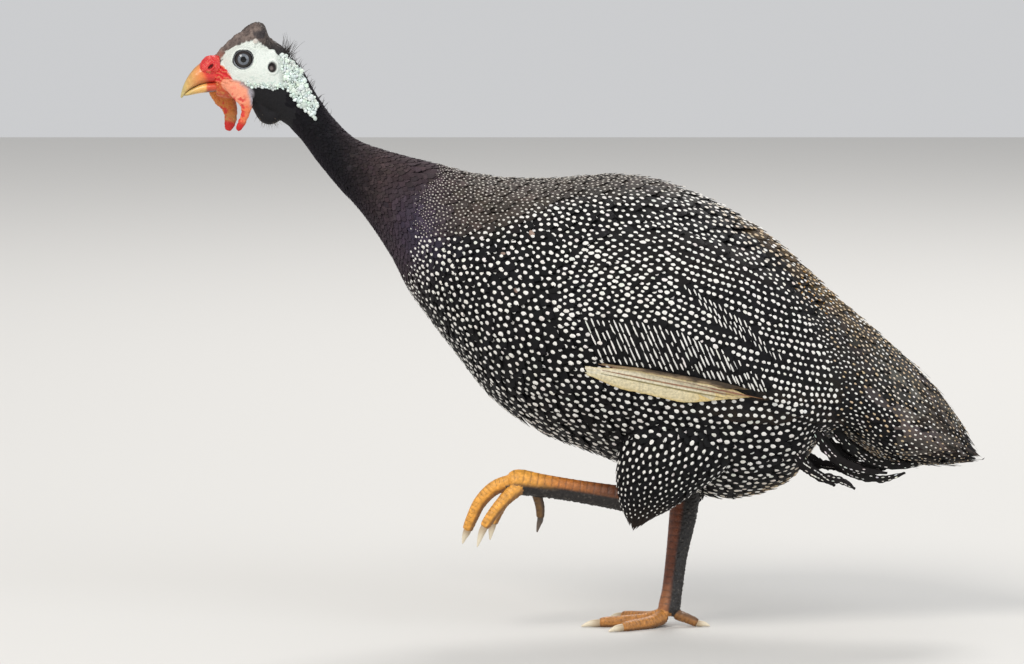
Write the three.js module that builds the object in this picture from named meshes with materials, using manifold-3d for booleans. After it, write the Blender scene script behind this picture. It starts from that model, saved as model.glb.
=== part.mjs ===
// A helmeted guinea fowl, life size, walking with its left foot lifted. Millimetres, +Z up.
// The bill points along -X, the bird's left side faces -Y, and z = 0 is the ground under the right foot.
// Every outline holds the feathers: the solids are the outer shape of the coat.
import * as THREE from "three";
import { mergeVertices } from "three/addons/utils/BufferGeometryUtils.js";
import Module from "manifold-3d";

const wasm = await Module();
wasm.setup();
const { Manifold, Mesh: SolidMesh } = wasm;

// Driving dimensions
const pieceGap = 0.35; // clearance between two pieces that touch
const headTurn = THREE.MathUtils.degToRad(8); // the head looks a little to the bird's left
const turnPivotX = -150; // the turn's upright axis passes through the upper neck
const turnStartX = -70; // no turn behind this
const turnEndX = -175; // full turn ahead of this
const ringSides = 22; // sides of a ring round the body
const ringsPerSpan = 2; // rings between two stations, and
const trunkRingsPerSpan = 1.5; // fewer on the long smooth trunk
const limbSides = 10;
const toeSides = 7;
const eyeRadius = 7.2;
const eyeDepth = 5.2; // half the eyeball's depth across the head
const earRadius = 2.8;
const earDepth = 1.6;
const wingEdge = 1.4; // thickness of the folded wing at its rim
const wingRise = 6.5; // how much thicker its middle is
const primaryEdge = 0.9; // thickness of the pale blade below the wing
const primaryRise = 1.4;
const wingSteps = 24; // points round a wing's outline
const primarySteps = 18;
const plateSunk = 2; // how deep a wing's inner side starts under the flank before the body is cut out
const halfSpace = 400; // larger than the bird

// Stations along a body always run towards +X. These go from the face to the tip of the tail.
// top and bottom are [x, z] on the outline, half is half the width, and pear moves the widest place
// down (above 0) or up (below 0).
const stations = [
  { top: [-223.6, 345.3], bottom: [-221.7, 327], half: 6.2, pear: 0 },
  { top: [-218.7, 350.1], bottom: [-216.2, 325.1], half: 9.2, pear: 0 },
  { top: [-212, 355], bottom: [-208.9, 324.5], half: 12.6, pear: -0.05 },
  { top: [-203.4, 357.5], bottom: [-201.6, 322.1], half: 15.3, pear: -0.05 },
  { top: [-194.3, 357.5], bottom: [-194.3, 318.4], half: 16.3, pear: 0 },
  { top: [-185.1, 355], bottom: [-188.2, 314.8], half: 15.4, pear: 0.05 },
  { top: [-176.6, 350.1], bottom: [-182.7, 311.1], half: 13.8, pear: 0.05 },
  { top: [-169.3, 342.2], bottom: [-177.2, 306.8], half: 12.4, pear: 0.05 },
  { top: [-160.1, 326.4], bottom: [-169.3, 298.3], half: 11.6, pear: 0 },
  { top: [-149.8, 312.3], bottom: [-160.1, 285.5], half: 12.6, pear: 0 },
  { top: [-135.7, 299.5], bottom: [-147.6, 270], half: 15, pear: 0 },
  { top: [-113.2, 291.5], bottom: [-132, 252.2], half: 20.5, pear: 0.03 },
  { top: [-88.8, 285.5], bottom: [-116.4, 228.8], half: 30, pear: 0.06 },
  { top: [-64.4, 279.5], bottom: [-105.4, 207.2], half: 42, pear: 0.1 },
  { top: [-40, 276.8], bottom: [-93, 189.7], half: 55, pear: 0.12 },
  { top: [-15.6, 276.9], bottom: [-76.6, 168.4], half: 66, pear: 0.13 },
  { top: [8.9, 278.8], bottom: [-54, 140.3], half: 73, pear: 0.13 },
  { top: [33.3, 278.8], bottom: [-24.7, 119.6], half: 77, pear: 0.12 },
  { top: [57.7, 273.3], bottom: [11.9, 105.5], half: 78, pear: 0.1 },
  { top: [82.1, 262.9], bottom: [48.5, 93.5], half: 76, pear: 0.08 },
  { top: [103.4, 250.7], bottom: [82.1, 84], half: 71, pear: 0.06 },
  { top: [121.7, 237.2], bottom: [109.5, 86], half: 64, pear: 0.08 },
  { top: [138.8, 221.9], bottom: [129, 96.5], half: 56, pear: 0.12 },
  { top: [155.3, 206.1], bottom: [146.1, 114.5], half: 48, pear: 0.2 },
  { top: [173.6, 190.3], bottom: [161.4, 115.5], half: 42, pear: 0.3 },
  { top: [194.9, 171], bottom: [185.8, 102], half: 38, pear: 0.34 },
  { top: [216.3, 149], bottom: [210.2, 99.5], half: 33, pear: 0.36 },
  { top: [231.5, 128.5], bottom: [229.3, 100.3], half: 25, pear: 0.36 },
  { top: [241.9, 110.6], bottom: [241.9, 103.8], half: 13, pear: 0.2 },
];

// Named lengths of that body, as the stations where one ends and the next begins
const bodyLengths = [
  { name: "head", from: 0, to: 7, color: 0xdfe6e8, roughness: 0.6 },
  { name: "neck_upper", from: 7, to: 10, color: 0x2b2630, roughness: 0.8 },
  { name: "neck_lower", from: 10, to: 13, perSpan: trunkRingsPerSpan, color: 0x453a40, roughness: 0.8 },
  { name: "trunk", from: 13, to: 23, perSpan: trunkRingsPerSpan, color: 0x232427, roughness: 0.75 },
  { name: "tail", from: 23, to: 28, perSpan: trunkRingsPerSpan, color: 0x2c2b29, roughness: 0.75 },
];

// The bony casque, from the bill's root over the crown, its foot sunk in the head
const casqueStations = [
  { top: [-223.6, 349], bottom: [-223.2, 342], half: 1.6, pear: 0.2 },
  { top: [-217.4, 357], bottom: [-216.6, 345], half: 4.2, pear: 0.35 },
  { top: [-211.6, 362.2], bottom: [-210.4, 348], half: 5.8, pear: 0.42 },
  { top: [-205.6, 367.4], bottom: [-204, 350], half: 6.8, pear: 0.45 },
  { top: [-201.4, 370.3], bottom: [-199.6, 351], half: 7, pear: 0.45 },
  { top: [-197.6, 371.4], bottom: [-196, 351.4], half: 6.8, pear: 0.42 },
  { top: [-194.4, 369.2], bottom: [-193.6, 351.2], half: 6.4, pear: 0.42 },
  { top: [-192.4, 364.6], bottom: [-191.4, 350.8], half: 6, pear: 0.4 },
  { top: [-189.8, 360.5], bottom: [-188.4, 349.4], half: 5.4, pear: 0.3 },
  { top: [-184, 356.8], bottom: [-183, 347], half: 4, pear: 0.2 },
  { top: [-179, 352.9], bottom: [-178.6, 345.6], half: 1.6, pear: 0 },
];

const billUpperStations = [
  { top: [-243.5, 326.1], bottom: [-242.7, 325.3], half: 0.6, pear: 0 },
  { top: [-242.6, 330.4], bottom: [-240.9, 327.7], half: 1.7, pear: 0.1 },
  { top: [-240.8, 335.1], bottom: [-239, 329.6], half: 2.8, pear: 0.2 },
  { top: [-237.6, 340.4], bottom: [-236, 331.5], half: 4, pear: 0.2 },
  { top: [-233.8, 344.7], bottom: [-232.6, 333.1], half: 4.9, pear: 0.18 },
  { top: [-229.3, 347.2], bottom: [-228.5, 334.1], half: 5.5, pear: 0.15 },
  { top: [-223.7, 347], bottom: [-223.3, 334.6], half: 5.8, pear: 0.12 },
  { top: [-217.7, 345.8], bottom: [-216.7, 334.7], half: 5.4, pear: 0.1 },
];

const billLowerStations = [
  { top: [-241.1, 327.9], bottom: [-241.2, 326.9], half: 0.7, pear: 0 },
  { top: [-239.4, 329.5], bottom: [-239.6, 326.9], half: 1.9, pear: 0 },
  { top: [-235.8, 331.9], bottom: [-236, 327.5], half: 3.1, pear: 0 },
  { top: [-229.8, 334.5], bottom: [-230.2, 328.5], half: 4.2, pear: 0 },
  { top: [-222.8, 335.3], bottom: [-223.2, 329.1], half: 5.2, pear: 0 },
  { top: [-216.8, 335.3], bottom: [-217.2, 329.9], half: 5.4, pear: 0 },
];

// The swollen red cushion over the nostrils
const cereStations = [
  { top: [-232.6, 344.2], bottom: [-232.2, 340.5], half: 2.4, pear: 0.2 },
  { top: [-231, 348.6], bottom: [-230.2, 338.7], half: 5.2, pear: 0.25 },
  { top: [-228, 351.6], bottom: [-227.2, 338.1], half: 7, pear: 0.25 },
  { top: [-224.4, 352.4], bottom: [-223.8, 338.1], half: 7.6, pear: 0.25 },
  { top: [-221, 351.4], bottom: [-220.6, 339.1], half: 7, pear: 0.25 },
];

// Limbs are tubes along a path. up and side are half the tube's size across the path.
const throatPath = [
  { at: [-201.6, 0, 323.7], up: 2.4, side: 3.4 },
  { at: [-196.7, 0, 319.1], up: 5.2, side: 6 },
  { at: [-191, 0, 315.7], up: 6.4, side: 6.8 },
  { at: [-185.7, 0, 317.3], up: 5, side: 6.2 },
  { at: [-180.9, 0, 321.1], up: 2.6, side: 4 },
];

const wattleLeftPath = [
  { at: [-214.4, -8.4, 335.4], up: 3.6, side: 1.4 },
  { at: [-209.2, -11.2, 331], up: 5, side: 1.9 },
  { at: [-207.8, -12.4, 325.3], up: 4.4, side: 1.7 },
  { at: [-208.8, -12.6, 319.6], up: 3.2, side: 1.4 },
  { at: [-210.6, -12.2, 314.2], up: 2.6, side: 1.3 },
  { at: [-212, -11.6, 309.4], up: 2.2, side: 1.2 },
  { at: [-212.6, -11.2, 307], up: 1, side: 0.6 },
];

const wattleRightPath = [
  { at: [-221, 7.4, 329.6], up: 3.8, side: 1.4 },
  { at: [-216.8, 10.4, 325], up: 4.8, side: 1.9 },
  { at: [-213.6, 12, 320], up: 4, side: 1.7 },
  { at: [-212.4, 12.6, 315], up: 3.1, side: 1.4 },
  { at: [-213, 12.4, 310.2], up: 2.8, side: 1.3 },
  { at: [-214.2, 12, 306.6], up: 2.2, side: 1.2 },
  { at: [-214.8, 11.8, 304.8], up: 1, side: 0.6 },
];

const thighLeftPath = [
  { at: [78, -40, 168], up: 40, side: 16 },
  { at: [64, -46, 134], up: 42, side: 21 },
  { at: [47, -44, 104], up: 29, side: 19 },
  { at: [37, -38, 83], up: 17, side: 13 },
  { at: [33, -35, 70], up: 6, side: 6 },
];

const thighRightPath = [
  { at: [86, 40, 165], up: 36, side: 16 },
  { at: [80, 44, 130], up: 36, side: 21 },
  { at: [74, 38, 104], up: 26, side: 17 },
  { at: [68, 29, 86], up: 15, side: 11 },
  { at: [66, 25, 76], up: 9.6, side: 7 },
];

const tarsusLeftPath = [
  { at: [37, -34, 82], up: 8.6, side: 6.4 },
  { at: [20, -34.6, 84.6], up: 7.6, side: 5.2 },
  { at: [-4, -35.2, 88.6], up: 7, side: 4.6 },
  { at: [-24, -35.4, 91.8], up: 7.2, side: 5.2 },
  { at: [-38, -35.2, 93.8], up: 8, side: 6.6 },
  { at: [-43, -35, 93], up: 5.4, side: 5.4 },
];

const tarsusRightPath = [
  { at: [66, 25, 86], up: 9.4, side: 7 },
  { at: [63.4, 20, 66], up: 8.6, side: 5.8 },
  { at: [59.4, 12.6, 42], up: 6.8, side: 4.8 },
  { at: [56.6, 6.8, 22], up: 6.4, side: 5 },
  { at: [54.6, 3.8, 11], up: 6.8, side: 6.6 },
  { at: [54, 3.2, 6], up: 5, side: 5.4 },
];

// Each toe is named by its number on the foot, 1 being the one that points back
const toes = [
  {
    name: "left_toe_3",
    path: [[-41, -34.6, 94], [-52, -34, 90.2], [-61, -33.4, 81.4], [-66.4, -33, 70.4], [-69, -32.8, 63.6]],
    claw: [-71.8, -32.6, 55.8],
    thick: 4.9,
    thin: 3.1,
  },
  {
    name: "left_toe_4",
    path: [[-37.4, -38, 91], [-45, -41, 84.8], [-53, -43, 75.6], [-59, -44, 66.8]],
    claw: [-62.8, -44.4, 55.4],
    thick: 4.6,
    thin: 3,
  },
  {
    name: "left_toe_2",
    path: [[-38.6, -31.4, 90.4], [-46, -27.4, 82.4], [-51, -25.6, 73.6], [-53.6, -25, 66.6]],
    claw: [-55.2, -24.8, 57],
    thick: 4.4,
    thin: 3,
  },
  {
    name: "left_toe_1",
    path: [[-27.4, -33, 88.6], [-24.8, -32.2, 79], [-24.4, -31.8, 71]],
    claw: [-26.6, -31.6, 62.6],
    thick: 3.2,
    thin: 2.5,
  },
  {
    name: "right_toe_3",
    path: [[51.6, 2.8, 6.8], [40, 1.6, 3.8], [25, 0, 3.1], [11, -1.4, 2.6]],
    claw: [0.6, -2.4, 0.6],
    thick: 4.9,
    thin: 3.2,
  },
  {
    name: "right_toe_4",
    path: [[52.6, 5.6, 6.6], [44, 13.6, 3.6], [33.6, 22.4, 2.9], [26, 28, 2.5]],
    claw: [18, 32.6, 0.6],
    thick: 4.6,
    thin: 3.1,
  },
  {
    name: "right_toe_2",
    path: [[52.2, 0.6, 6.6], [42.6, -7.4, 3.6], [32, -15, 2.9], [25, -20, 2.5]],
    claw: [17, -24, 0.6],
    thick: 4.4,
    thin: 3.1,
  },
  {
    name: "right_toe_1",
    path: [[58, 3, 7.6], [66, 1.4, 4.8], [72.4, 0, 2.1]],
    claw: [79.6, -1.4, 0.6],
    thick: 3.4,
    thin: 2.7,
  },
];

// Outlines of the folded wing and of the pale primaries under its edge, seen from the side, as [x, z]
// points of a closed smooth curve
const wingOutline = [
  [-20, 208],
  [-12, 234],
  [8, 249],
  [38, 254],
  [74, 246],
  [110, 224],
  [140, 194],
  [155, 162],
  [158, 138],
  [150, 125],
  [133, 133],
  [104, 147],
  [72, 156],
  [38, 164],
  [8, 172],
  [-12, 187],
];
const primaryOutline = [
  [4.5, 168],
  [20, 170],
  [44, 166],
  [76, 156],
  [103, 148],
  [92, 145.6],
  [71, 143],
  [42, 147.6],
  [8, 156],
];

const colors = {
  horn: 0x6a5a50,
  bill: 0xd9a25a,
  red: 0xb8202a,
  wattle: 0xd8603a,
  throat: 0x14151c,
  eye: 0x14161a,
  ear: 0x2a2426,
  coat: 0x232427,
  primaries: 0xe6dcb8,
  leg: 0xb5611f,
  claw: 0xd8c48a,
};

function lerp(a, b, t) {
  return a + (b - a) * t;
}

// A smooth curve through evenly numbered values, read at u stations from the first
function smoothAt(values, u) {
  const last = values.length - 1;
  const i = Math.min(Math.floor(u), last - 1);
  const t = u - i;
  const [p1, p2] = [values[i], values[i + 1]];
  const p0 = values[Math.max(i - 1, 0)];
  const p3 = values[Math.min(i + 2, last)];
  const slopeA = (p2 - p0) / 2;
  const slopeB = (p3 - p1) / 2;
  const rise = t * t * (3 - 2 * t);
  return p1 + (p2 - p1) * rise + slopeA * t * (1 - t) * (1 - t) - slopeB * t * t * (1 - t);
}

// Closed geometry through rings of points, with a middle point in each end
function skinRings(rings) {
  const sides = rings[0].length;
  const positions = rings.flat().flatMap((p) => [p.x, p.y, p.z]);
  const index = [];
  for (let r = 0; r + 1 < rings.length; r++) {
    for (let k = 0; k < sides; k++) {
      const a = r * sides + k;
      const b = r * sides + ((k + 1) % sides);
      index.push(a, b + sides, b, a, a + sides, b + sides);
    }
  }
  const centreOf = (ring) => ring.reduce((sum, p) => sum.add(p), new THREE.Vector3()).divideScalar(sides);
  const first = centreOf(rings[0]);
  const last = centreOf(rings[rings.length - 1]);
  const firstIndex = positions.length / 3;
  positions.push(first.x, first.y, first.z, last.x, last.y, last.z);
  const lastRing = (rings.length - 1) * sides;
  for (let k = 0; k < sides; k++) {
    const next = (k + 1) % sides;
    index.push(firstIndex, k, next);
    index.push(firstIndex + 1, lastRing + next, lastRing + k);
  }
  const geometry = new THREE.BufferGeometry();
  geometry.setAttribute("position", new THREE.Float32BufferAttribute(positions, 3));
  geometry.setIndex(index);
  return geometry;
}

// The ring of a station list at u, swollen by grow on every side
function stationRing(list, u, grow, sides) {
  const read = (pick) => smoothAt(list.map(pick), u);
  const top = new THREE.Vector3(read((s) => s.top[0]), 0, read((s) => s.top[1]));
  const bottom = new THREE.Vector3(read((s) => s.bottom[0]), 0, read((s) => s.bottom[1]));
  const centre = top.clone().add(bottom).divideScalar(2);
  const up = top.clone().sub(centre);
  up.setLength(up.length() + grow);
  const half = read((s) => s.half) + grow;
  const pear = read((s) => s.pear);
  const ring = [];
  for (let k = 0; k < sides; k++) {
    const angle = (2 * Math.PI * k) / sides;
    const rise = Math.cos(angle);
    const across = half * Math.sin(angle) * (1 - pear * rise);
    ring.push(new THREE.Vector3(centre.x + up.x * rise, across, centre.z + up.z * rise));
  }
  return ring;
}

// A body lofted through stations, from one number to another
function loft(list, options = {}) {
  const { from = 0, to = list.length - 1, grow = 0, sides = ringSides, perSpan = ringsPerSpan } = options;
  const steps = Math.max(2, Math.round((to - from) * perSpan));
  const rings = [];
  for (let i = 0; i <= steps; i++) rings.push(stationRing(list, lerp(from, to, i / steps), grow, sides));
  return toSolid(skinRings(rings));
}

// A tube along a path, whose section is an oval
function limb(path, { grow = 0, sides = limbSides, perSpan = 3 } = {}) {
  const points = path.map((p) => new THREE.Vector3(...p.at));
  const curve = new THREE.CatmullRomCurve3(points, false, "centripetal");
  const spans = path.length - 1;
  const steps = spans * perSpan;
  const rings = [];
  for (let i = 0; i <= steps; i++) {
    const u = (i / steps) * spans;
    const centre = curve.getPoint(i / steps);
    const along = curve.getTangent(i / steps);
    const side = new THREE.Vector3(0, 1, 0).addScaledVector(along, -along.y).normalize();
    const up = new THREE.Vector3().crossVectors(side, along);
    const upSize = smoothAt(path.map((p) => p.up), u) + grow;
    const sideSize = smoothAt(path.map((p) => p.side), u) + grow;
    if (i === 0) centre.addScaledVector(along, -grow);
    if (i === steps) centre.addScaledVector(along, grow);
    const ring = [];
    for (let k = 0; k < sides; k++) {
      const angle = (-2 * Math.PI * k) / sides;
      const point = centre.clone().addScaledVector(up, upSize * Math.cos(angle));
      ring.push(point.addScaledVector(side, sideSize * Math.sin(angle)));
    }
    rings.push(ring);
  }
  return toSolid(skinRings(rings));
}

function ovoid(centre, size, segments) {
  const geometry = new THREE.SphereGeometry(1, segments, Math.round(segments * 0.6));
  geometry.scale(...size);
  geometry.translate(...centre);
  return toSolid(geometry);
}

// Half the body's width at a point seen from the side
function bodySide(x, z) {
  const pick = (read) => stations.map(read);
  const topX = pick((s) => s.top[0]);
  const topZ = pick((s) => s.top[1]);
  const bottomX = pick((s) => s.bottom[0]);
  const bottomZ = pick((s) => s.bottom[1]);
  let low = 8;
  let high = stations.length - 1;
  for (let i = 0; i < 30; i++) {
    const u = (low + high) / 2;
    const dx = smoothAt(bottomX, u) - smoothAt(topX, u);
    const dz = smoothAt(bottomZ, u) - smoothAt(topZ, u);
    const behind = dx * (z - smoothAt(topZ, u)) - dz * (x - smoothAt(topX, u)) > 0;
    if (behind) low = u;
    else high = u;
  }
  const u = (low + high) / 2;
  const [tx, tz, bx, bz] = [topX, topZ, bottomX, bottomZ].map((values) => smoothAt(values, u));
  const along = ((x - bx) * (tx - bx) + (z - bz) * (tz - bz)) / ((tx - bx) ** 2 + (tz - bz) ** 2);
  const rise = THREE.MathUtils.clamp(along * 2 - 1, -0.99, 0.99);
  const half = smoothAt(pick((s) => s.half), u);
  return half * Math.sqrt(1 - rise * rise) * (1 - smoothAt(pick((s) => s.pear), u) * rise);
}

// A plate lying on the flank inside a side outline, thin at its rim. side is -1 on the left.
function flankPlate(outline, side, { edge, rise, steps, rings }) {
  const corners = outline.map(([x, z]) => new THREE.Vector3(x, 0, z));
  const curve = new THREE.CatmullRomCurve3(corners, true, "centripetal");
  const rim = curve.getSpacedPoints(steps).slice(0, steps);
  if (side > 0) rim.reverse();
  const centre = rim.reduce((sum, p) => sum.add(p), new THREE.Vector3()).divideScalar(rim.length);
  const ringAt = (share, outer) =>
    rim.map((p) => {
      const at = centre.clone().lerp(p, share);
      const depth = outer ? pieceGap + edge + rise * (1 - share ** 2.4) : -plateSunk;
      return at.setY(side * (bodySide(at.x, at.z) + depth));
    });
  const shares = [];
  for (let i = 1; i <= rings; i++) shares.push(i / rings);
  const inner = shares.map((share) => ringAt(share, false));
  const outer = shares.map((share) => ringAt(share, true)).reverse();
  return cutBy(toSolid(skinRings([...inner, ...outer])), plateClear);
}

function toSolid(geometry) {
  const bare = geometry.clone();
  bare.deleteAttribute("normal");
  bare.deleteAttribute("uv");
  const merged = mergeVertices(bare, 1e-4);
  const solid = new Manifold(
    new SolidMesh({
      numProp: 3,
      vertProperties: new Float32Array(merged.attributes.position.array),
      triVerts: new Uint32Array(merged.index.array),
    }),
  );
  if (solid.volume() < 0) throw new Error("a shape is inside out");
  return solid;
}

function largest(solid) {
  return solid.decompose().sort((a, b) => b.volume() - a.volume())[0];
}

function cutBy(solid, ...cutters) {
  return largest(cutters.reduce((rest, cutter) => rest.subtract(cutter), solid));
}

function aboveGround(solid) {
  const floorBlock = new THREE.BoxGeometry(halfSpace * 2, halfSpace * 2, halfSpace);
  floorBlock.translate(0, 0, -halfSpace / 2);
  return solid.subtract(toSolid(floorBlock));
}

// Turns the head and the upper neck about an upright axis, more and more towards the bill
function turned(point) {
  const t = THREE.MathUtils.clamp((turnStartX - point.x) / (turnStartX - turnEndX), 0, 1);
  const angle = headTurn * t * t * (3 - 2 * t);
  const dx = point.x - turnPivotX;
  const x = turnPivotX + dx * Math.cos(angle) - point.y * Math.sin(angle);
  const y = dx * Math.sin(angle) + point.y * Math.cos(angle);
  return point.set(x, y, point.z);
}

const bird = new THREE.Group();
const bodyClear = loft(stations, { grow: pieceGap });
const plateClear = loft(stations, { grow: pieceGap * 2 });

function addPiece(name, solid, color, roughness = 0.6) {
  const { vertProperties, triVerts, numProp, numVert } = solid.getMesh();
  const positions = new Float32Array(numVert * 3);
  const point = new THREE.Vector3();
  for (let i = 0; i < numVert; i++) {
    turned(point.fromArray(vertProperties, i * numProp)).toArray(positions, i * 3);
  }
  const geometry = new THREE.BufferGeometry();
  geometry.setAttribute("position", new THREE.BufferAttribute(positions, 3));
  geometry.setIndex(new THREE.BufferAttribute(triVerts, 1));
  geometry.computeVertexNormals();
  const material = new THREE.MeshStandardMaterial({ color, roughness, metalness: 0 });
  const mesh = new THREE.Mesh(geometry, material);
  mesh.name = name;
  bird.add(mesh);
}

// How much of a span between stations the gap takes
function gapShare(station) {
  const middle = (s) => new THREE.Vector2((s.top[0] + s.bottom[0]) / 2, (s.top[1] + s.bottom[1]) / 2);
  const span = middle(stations[station]).distanceTo(middle(stations[station + 1]));
  return pieceGap / span;
}

// Head, neck, trunk and tail
const eyeSize = [eyeRadius, eyeDepth, eyeRadius];
const earSize = [earRadius, earDepth, earRadius * 1.1];
const eyes = [-1, 1].map((side) => ({
  name: side < 0 ? "eye_left" : "eye_right",
  make: (grow) => ovoid([-206.4, side * 10.3, 349.4], eyeSize.map((v) => v + grow), 12),
}));
const ears = [-1, 1].map((side) => ({
  name: side < 0 ? "ear_left" : "ear_right",
  make: (grow) => ovoid([-189, side * 14.4, 344.5], earSize.map((v) => v + grow), 8),
}));
for (const { name, from, to, perSpan, color, roughness } of bodyLengths) {
  const start = from === 0 ? 0 : from + gapShare(from);
  const length = loft(stations, { from: start, to, perSpan });
  const sockets = name === "head" ? [...eyes, ...ears].map((organ) => organ.make(pieceGap)) : [];
  addPiece(name, cutBy(length, ...sockets), color, roughness);
}
for (const { name, make } of eyes) addPiece(name, make(0), colors.eye, 0.1);
for (const { name, make } of ears) addPiece(name, make(0), colors.ear, 0.8);

// Casque, bill, cere, throat fold and wattles
const casqueShape = (grow) => loft(casqueStations, { grow, sides: 10, perSpan: 1 });
const billUpperShape = (grow) => loft(billUpperStations, { grow, sides: 10, perSpan: 1 });
const billLowerShape = (grow) => loft(billLowerStations, { grow, sides: 10, perSpan: 1 });
const throatShape = (grow) => limb(throatPath, { grow, sides: 10, perSpan: 2 });
const eyesClear = eyes.map(({ make }) => make(pieceGap));
const casque = cutBy(casqueShape(0), bodyClear, billUpperShape(pieceGap), ...eyesClear);
addPiece("casque", casque, colors.horn, 0.7);
addPiece("bill_upper", cutBy(billUpperShape(0), bodyClear), colors.bill, 0.4);
addPiece("bill_lower", cutBy(billLowerShape(0), bodyClear, billUpperShape(pieceGap)), colors.bill, 0.4);
const cere = loft(cereStations, { sides: 12 });
addPiece("cere", cutBy(cere, bodyClear, billUpperShape(pieceGap), casqueShape(pieceGap)), colors.red, 0.5);
addPiece("throat", cutBy(throatShape(0), bodyClear), colors.throat, 0.7);
for (const [name, path] of [["wattle_left", wattleLeftPath], ["wattle_right", wattleRightPath]]) {
  const clear = [bodyClear, billUpperShape(pieceGap), billLowerShape(pieceGap), throatShape(pieceGap)];
  addPiece(name, cutBy(limb(path, { sides: 8, perSpan: 2 }), ...clear), colors.wattle, 0.5);
}

// Wings, and the pale primaries that show under their lower edge
function wingShape(side) {
  return flankPlate(wingOutline, side, { edge: wingEdge, rise: wingRise, steps: wingSteps, rings: 4 });
}

for (const side of [-1, 1]) {
  const suffix = side < 0 ? "left" : "right";
  const wing = wingShape(side);
  const shifts = [[0, 0, 0], [0, 0, -pieceGap], [0, -side * pieceGap, 0]];
  const wingClear = Manifold.union(shifts.map((shift) => wing.translate(...shift)));
  const blade = { edge: primaryEdge, rise: primaryRise, steps: primarySteps, rings: 2 };
  const primaries = flankPlate(primaryOutline, side, blade);
  addPiece(`wing_${suffix}`, wing, colors.coat, 0.7);
  addPiece(`primaries_${suffix}`, cutBy(primaries, wingClear), colors.primaries, 0.6);
}

// Legs
const legs = [
  { side: "left", thigh: thighLeftPath, tarsus: tarsusLeftPath },
  { side: "right", thigh: thighRightPath, tarsus: tarsusRightPath },
];
for (const { side, thigh, tarsus } of legs) {
  const thighShape = (grow) => limb(thigh, { grow, sides: 16, perSpan: 2 });
  const wing = wingShape(side === "left" ? -1 : 1);
  addPiece(`thigh_${side}`, cutBy(thighShape(0), bodyClear, wing), colors.coat, 0.75);
  const tarsusSolid = cutBy(limb(tarsus, { perSpan: 2 }), thighShape(pieceGap), bodyClear);
  addPiece(`tarsus_${side}`, aboveGround(tarsusSolid), colors.leg, 0.55);
  const earlier = [limb(tarsus, { grow: pieceGap, perSpan: 2 })];
  for (const { name, path, claw, thick, thin } of toes.filter((toe) => toe.name.startsWith(side))) {
    const toePath = path.map((at, i) => {
      const radius = lerp(thick, thin, i / (path.length - 1));
      return { at, up: radius, side: radius * 0.92 };
    });
    const toeShape = (grow) => limb(toePath, { grow, sides: toeSides, perSpan: 2 });
    addPiece(name, aboveGround(cutBy(toeShape(0), ...earlier)), colors.leg, 0.55);
    const tip = path[path.length - 1];
    const before = path[path.length - 2];
    const bend = tip.map((v, axis) => lerp(v, claw[axis], 0.5) + (axis === 2 ? 0.5 : 0));
    const clawPath = [
      { at: tip.map((v, axis) => lerp(v, before[axis], 0.25)), up: thin * 0.72, side: thin * 0.6 },
      { at: bend, up: thin * 0.6, side: thin * 0.42 },
      { at: claw, up: 0.6, side: 0.5 },
    ];
    const clawSolid = cutBy(limb(clawPath, { sides: 6, perSpan: 1 }), toeShape(pieceGap));
    addPiece(name.replace("toe", "claw"), aboveGround(clawSolid), colors.claw, 0.4);
    earlier.push(toeShape(pieceGap));
  }
}

// The origin goes under the middle of the bird's box, on the ground
const box = new THREE.Box3().setFromObject(bird);
const middle = box.getCenter(new THREE.Vector3());
for (const mesh of bird.children) mesh.position.set(-middle.x, -middle.y, -box.min.z);

export default bird;
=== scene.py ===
import bpy
import math
import numpy as np
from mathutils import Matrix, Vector, noise
from mathutils.bvhtree import BVHTree
from mathutils.kdtree import KDTree


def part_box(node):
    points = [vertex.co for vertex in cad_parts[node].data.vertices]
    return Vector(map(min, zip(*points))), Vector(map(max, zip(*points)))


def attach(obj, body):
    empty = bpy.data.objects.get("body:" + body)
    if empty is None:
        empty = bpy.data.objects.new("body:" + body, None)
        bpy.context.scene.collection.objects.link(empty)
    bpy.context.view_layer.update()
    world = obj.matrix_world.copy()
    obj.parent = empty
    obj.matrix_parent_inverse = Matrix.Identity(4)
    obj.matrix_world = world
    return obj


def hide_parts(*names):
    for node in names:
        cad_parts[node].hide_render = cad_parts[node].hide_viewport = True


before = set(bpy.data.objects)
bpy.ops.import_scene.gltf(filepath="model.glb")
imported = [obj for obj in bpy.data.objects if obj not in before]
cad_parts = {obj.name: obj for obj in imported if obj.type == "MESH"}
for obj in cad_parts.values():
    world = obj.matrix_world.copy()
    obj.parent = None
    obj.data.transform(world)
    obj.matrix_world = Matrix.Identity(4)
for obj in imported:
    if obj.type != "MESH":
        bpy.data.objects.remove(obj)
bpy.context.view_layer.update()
rng = np.random.default_rng(11)

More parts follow.
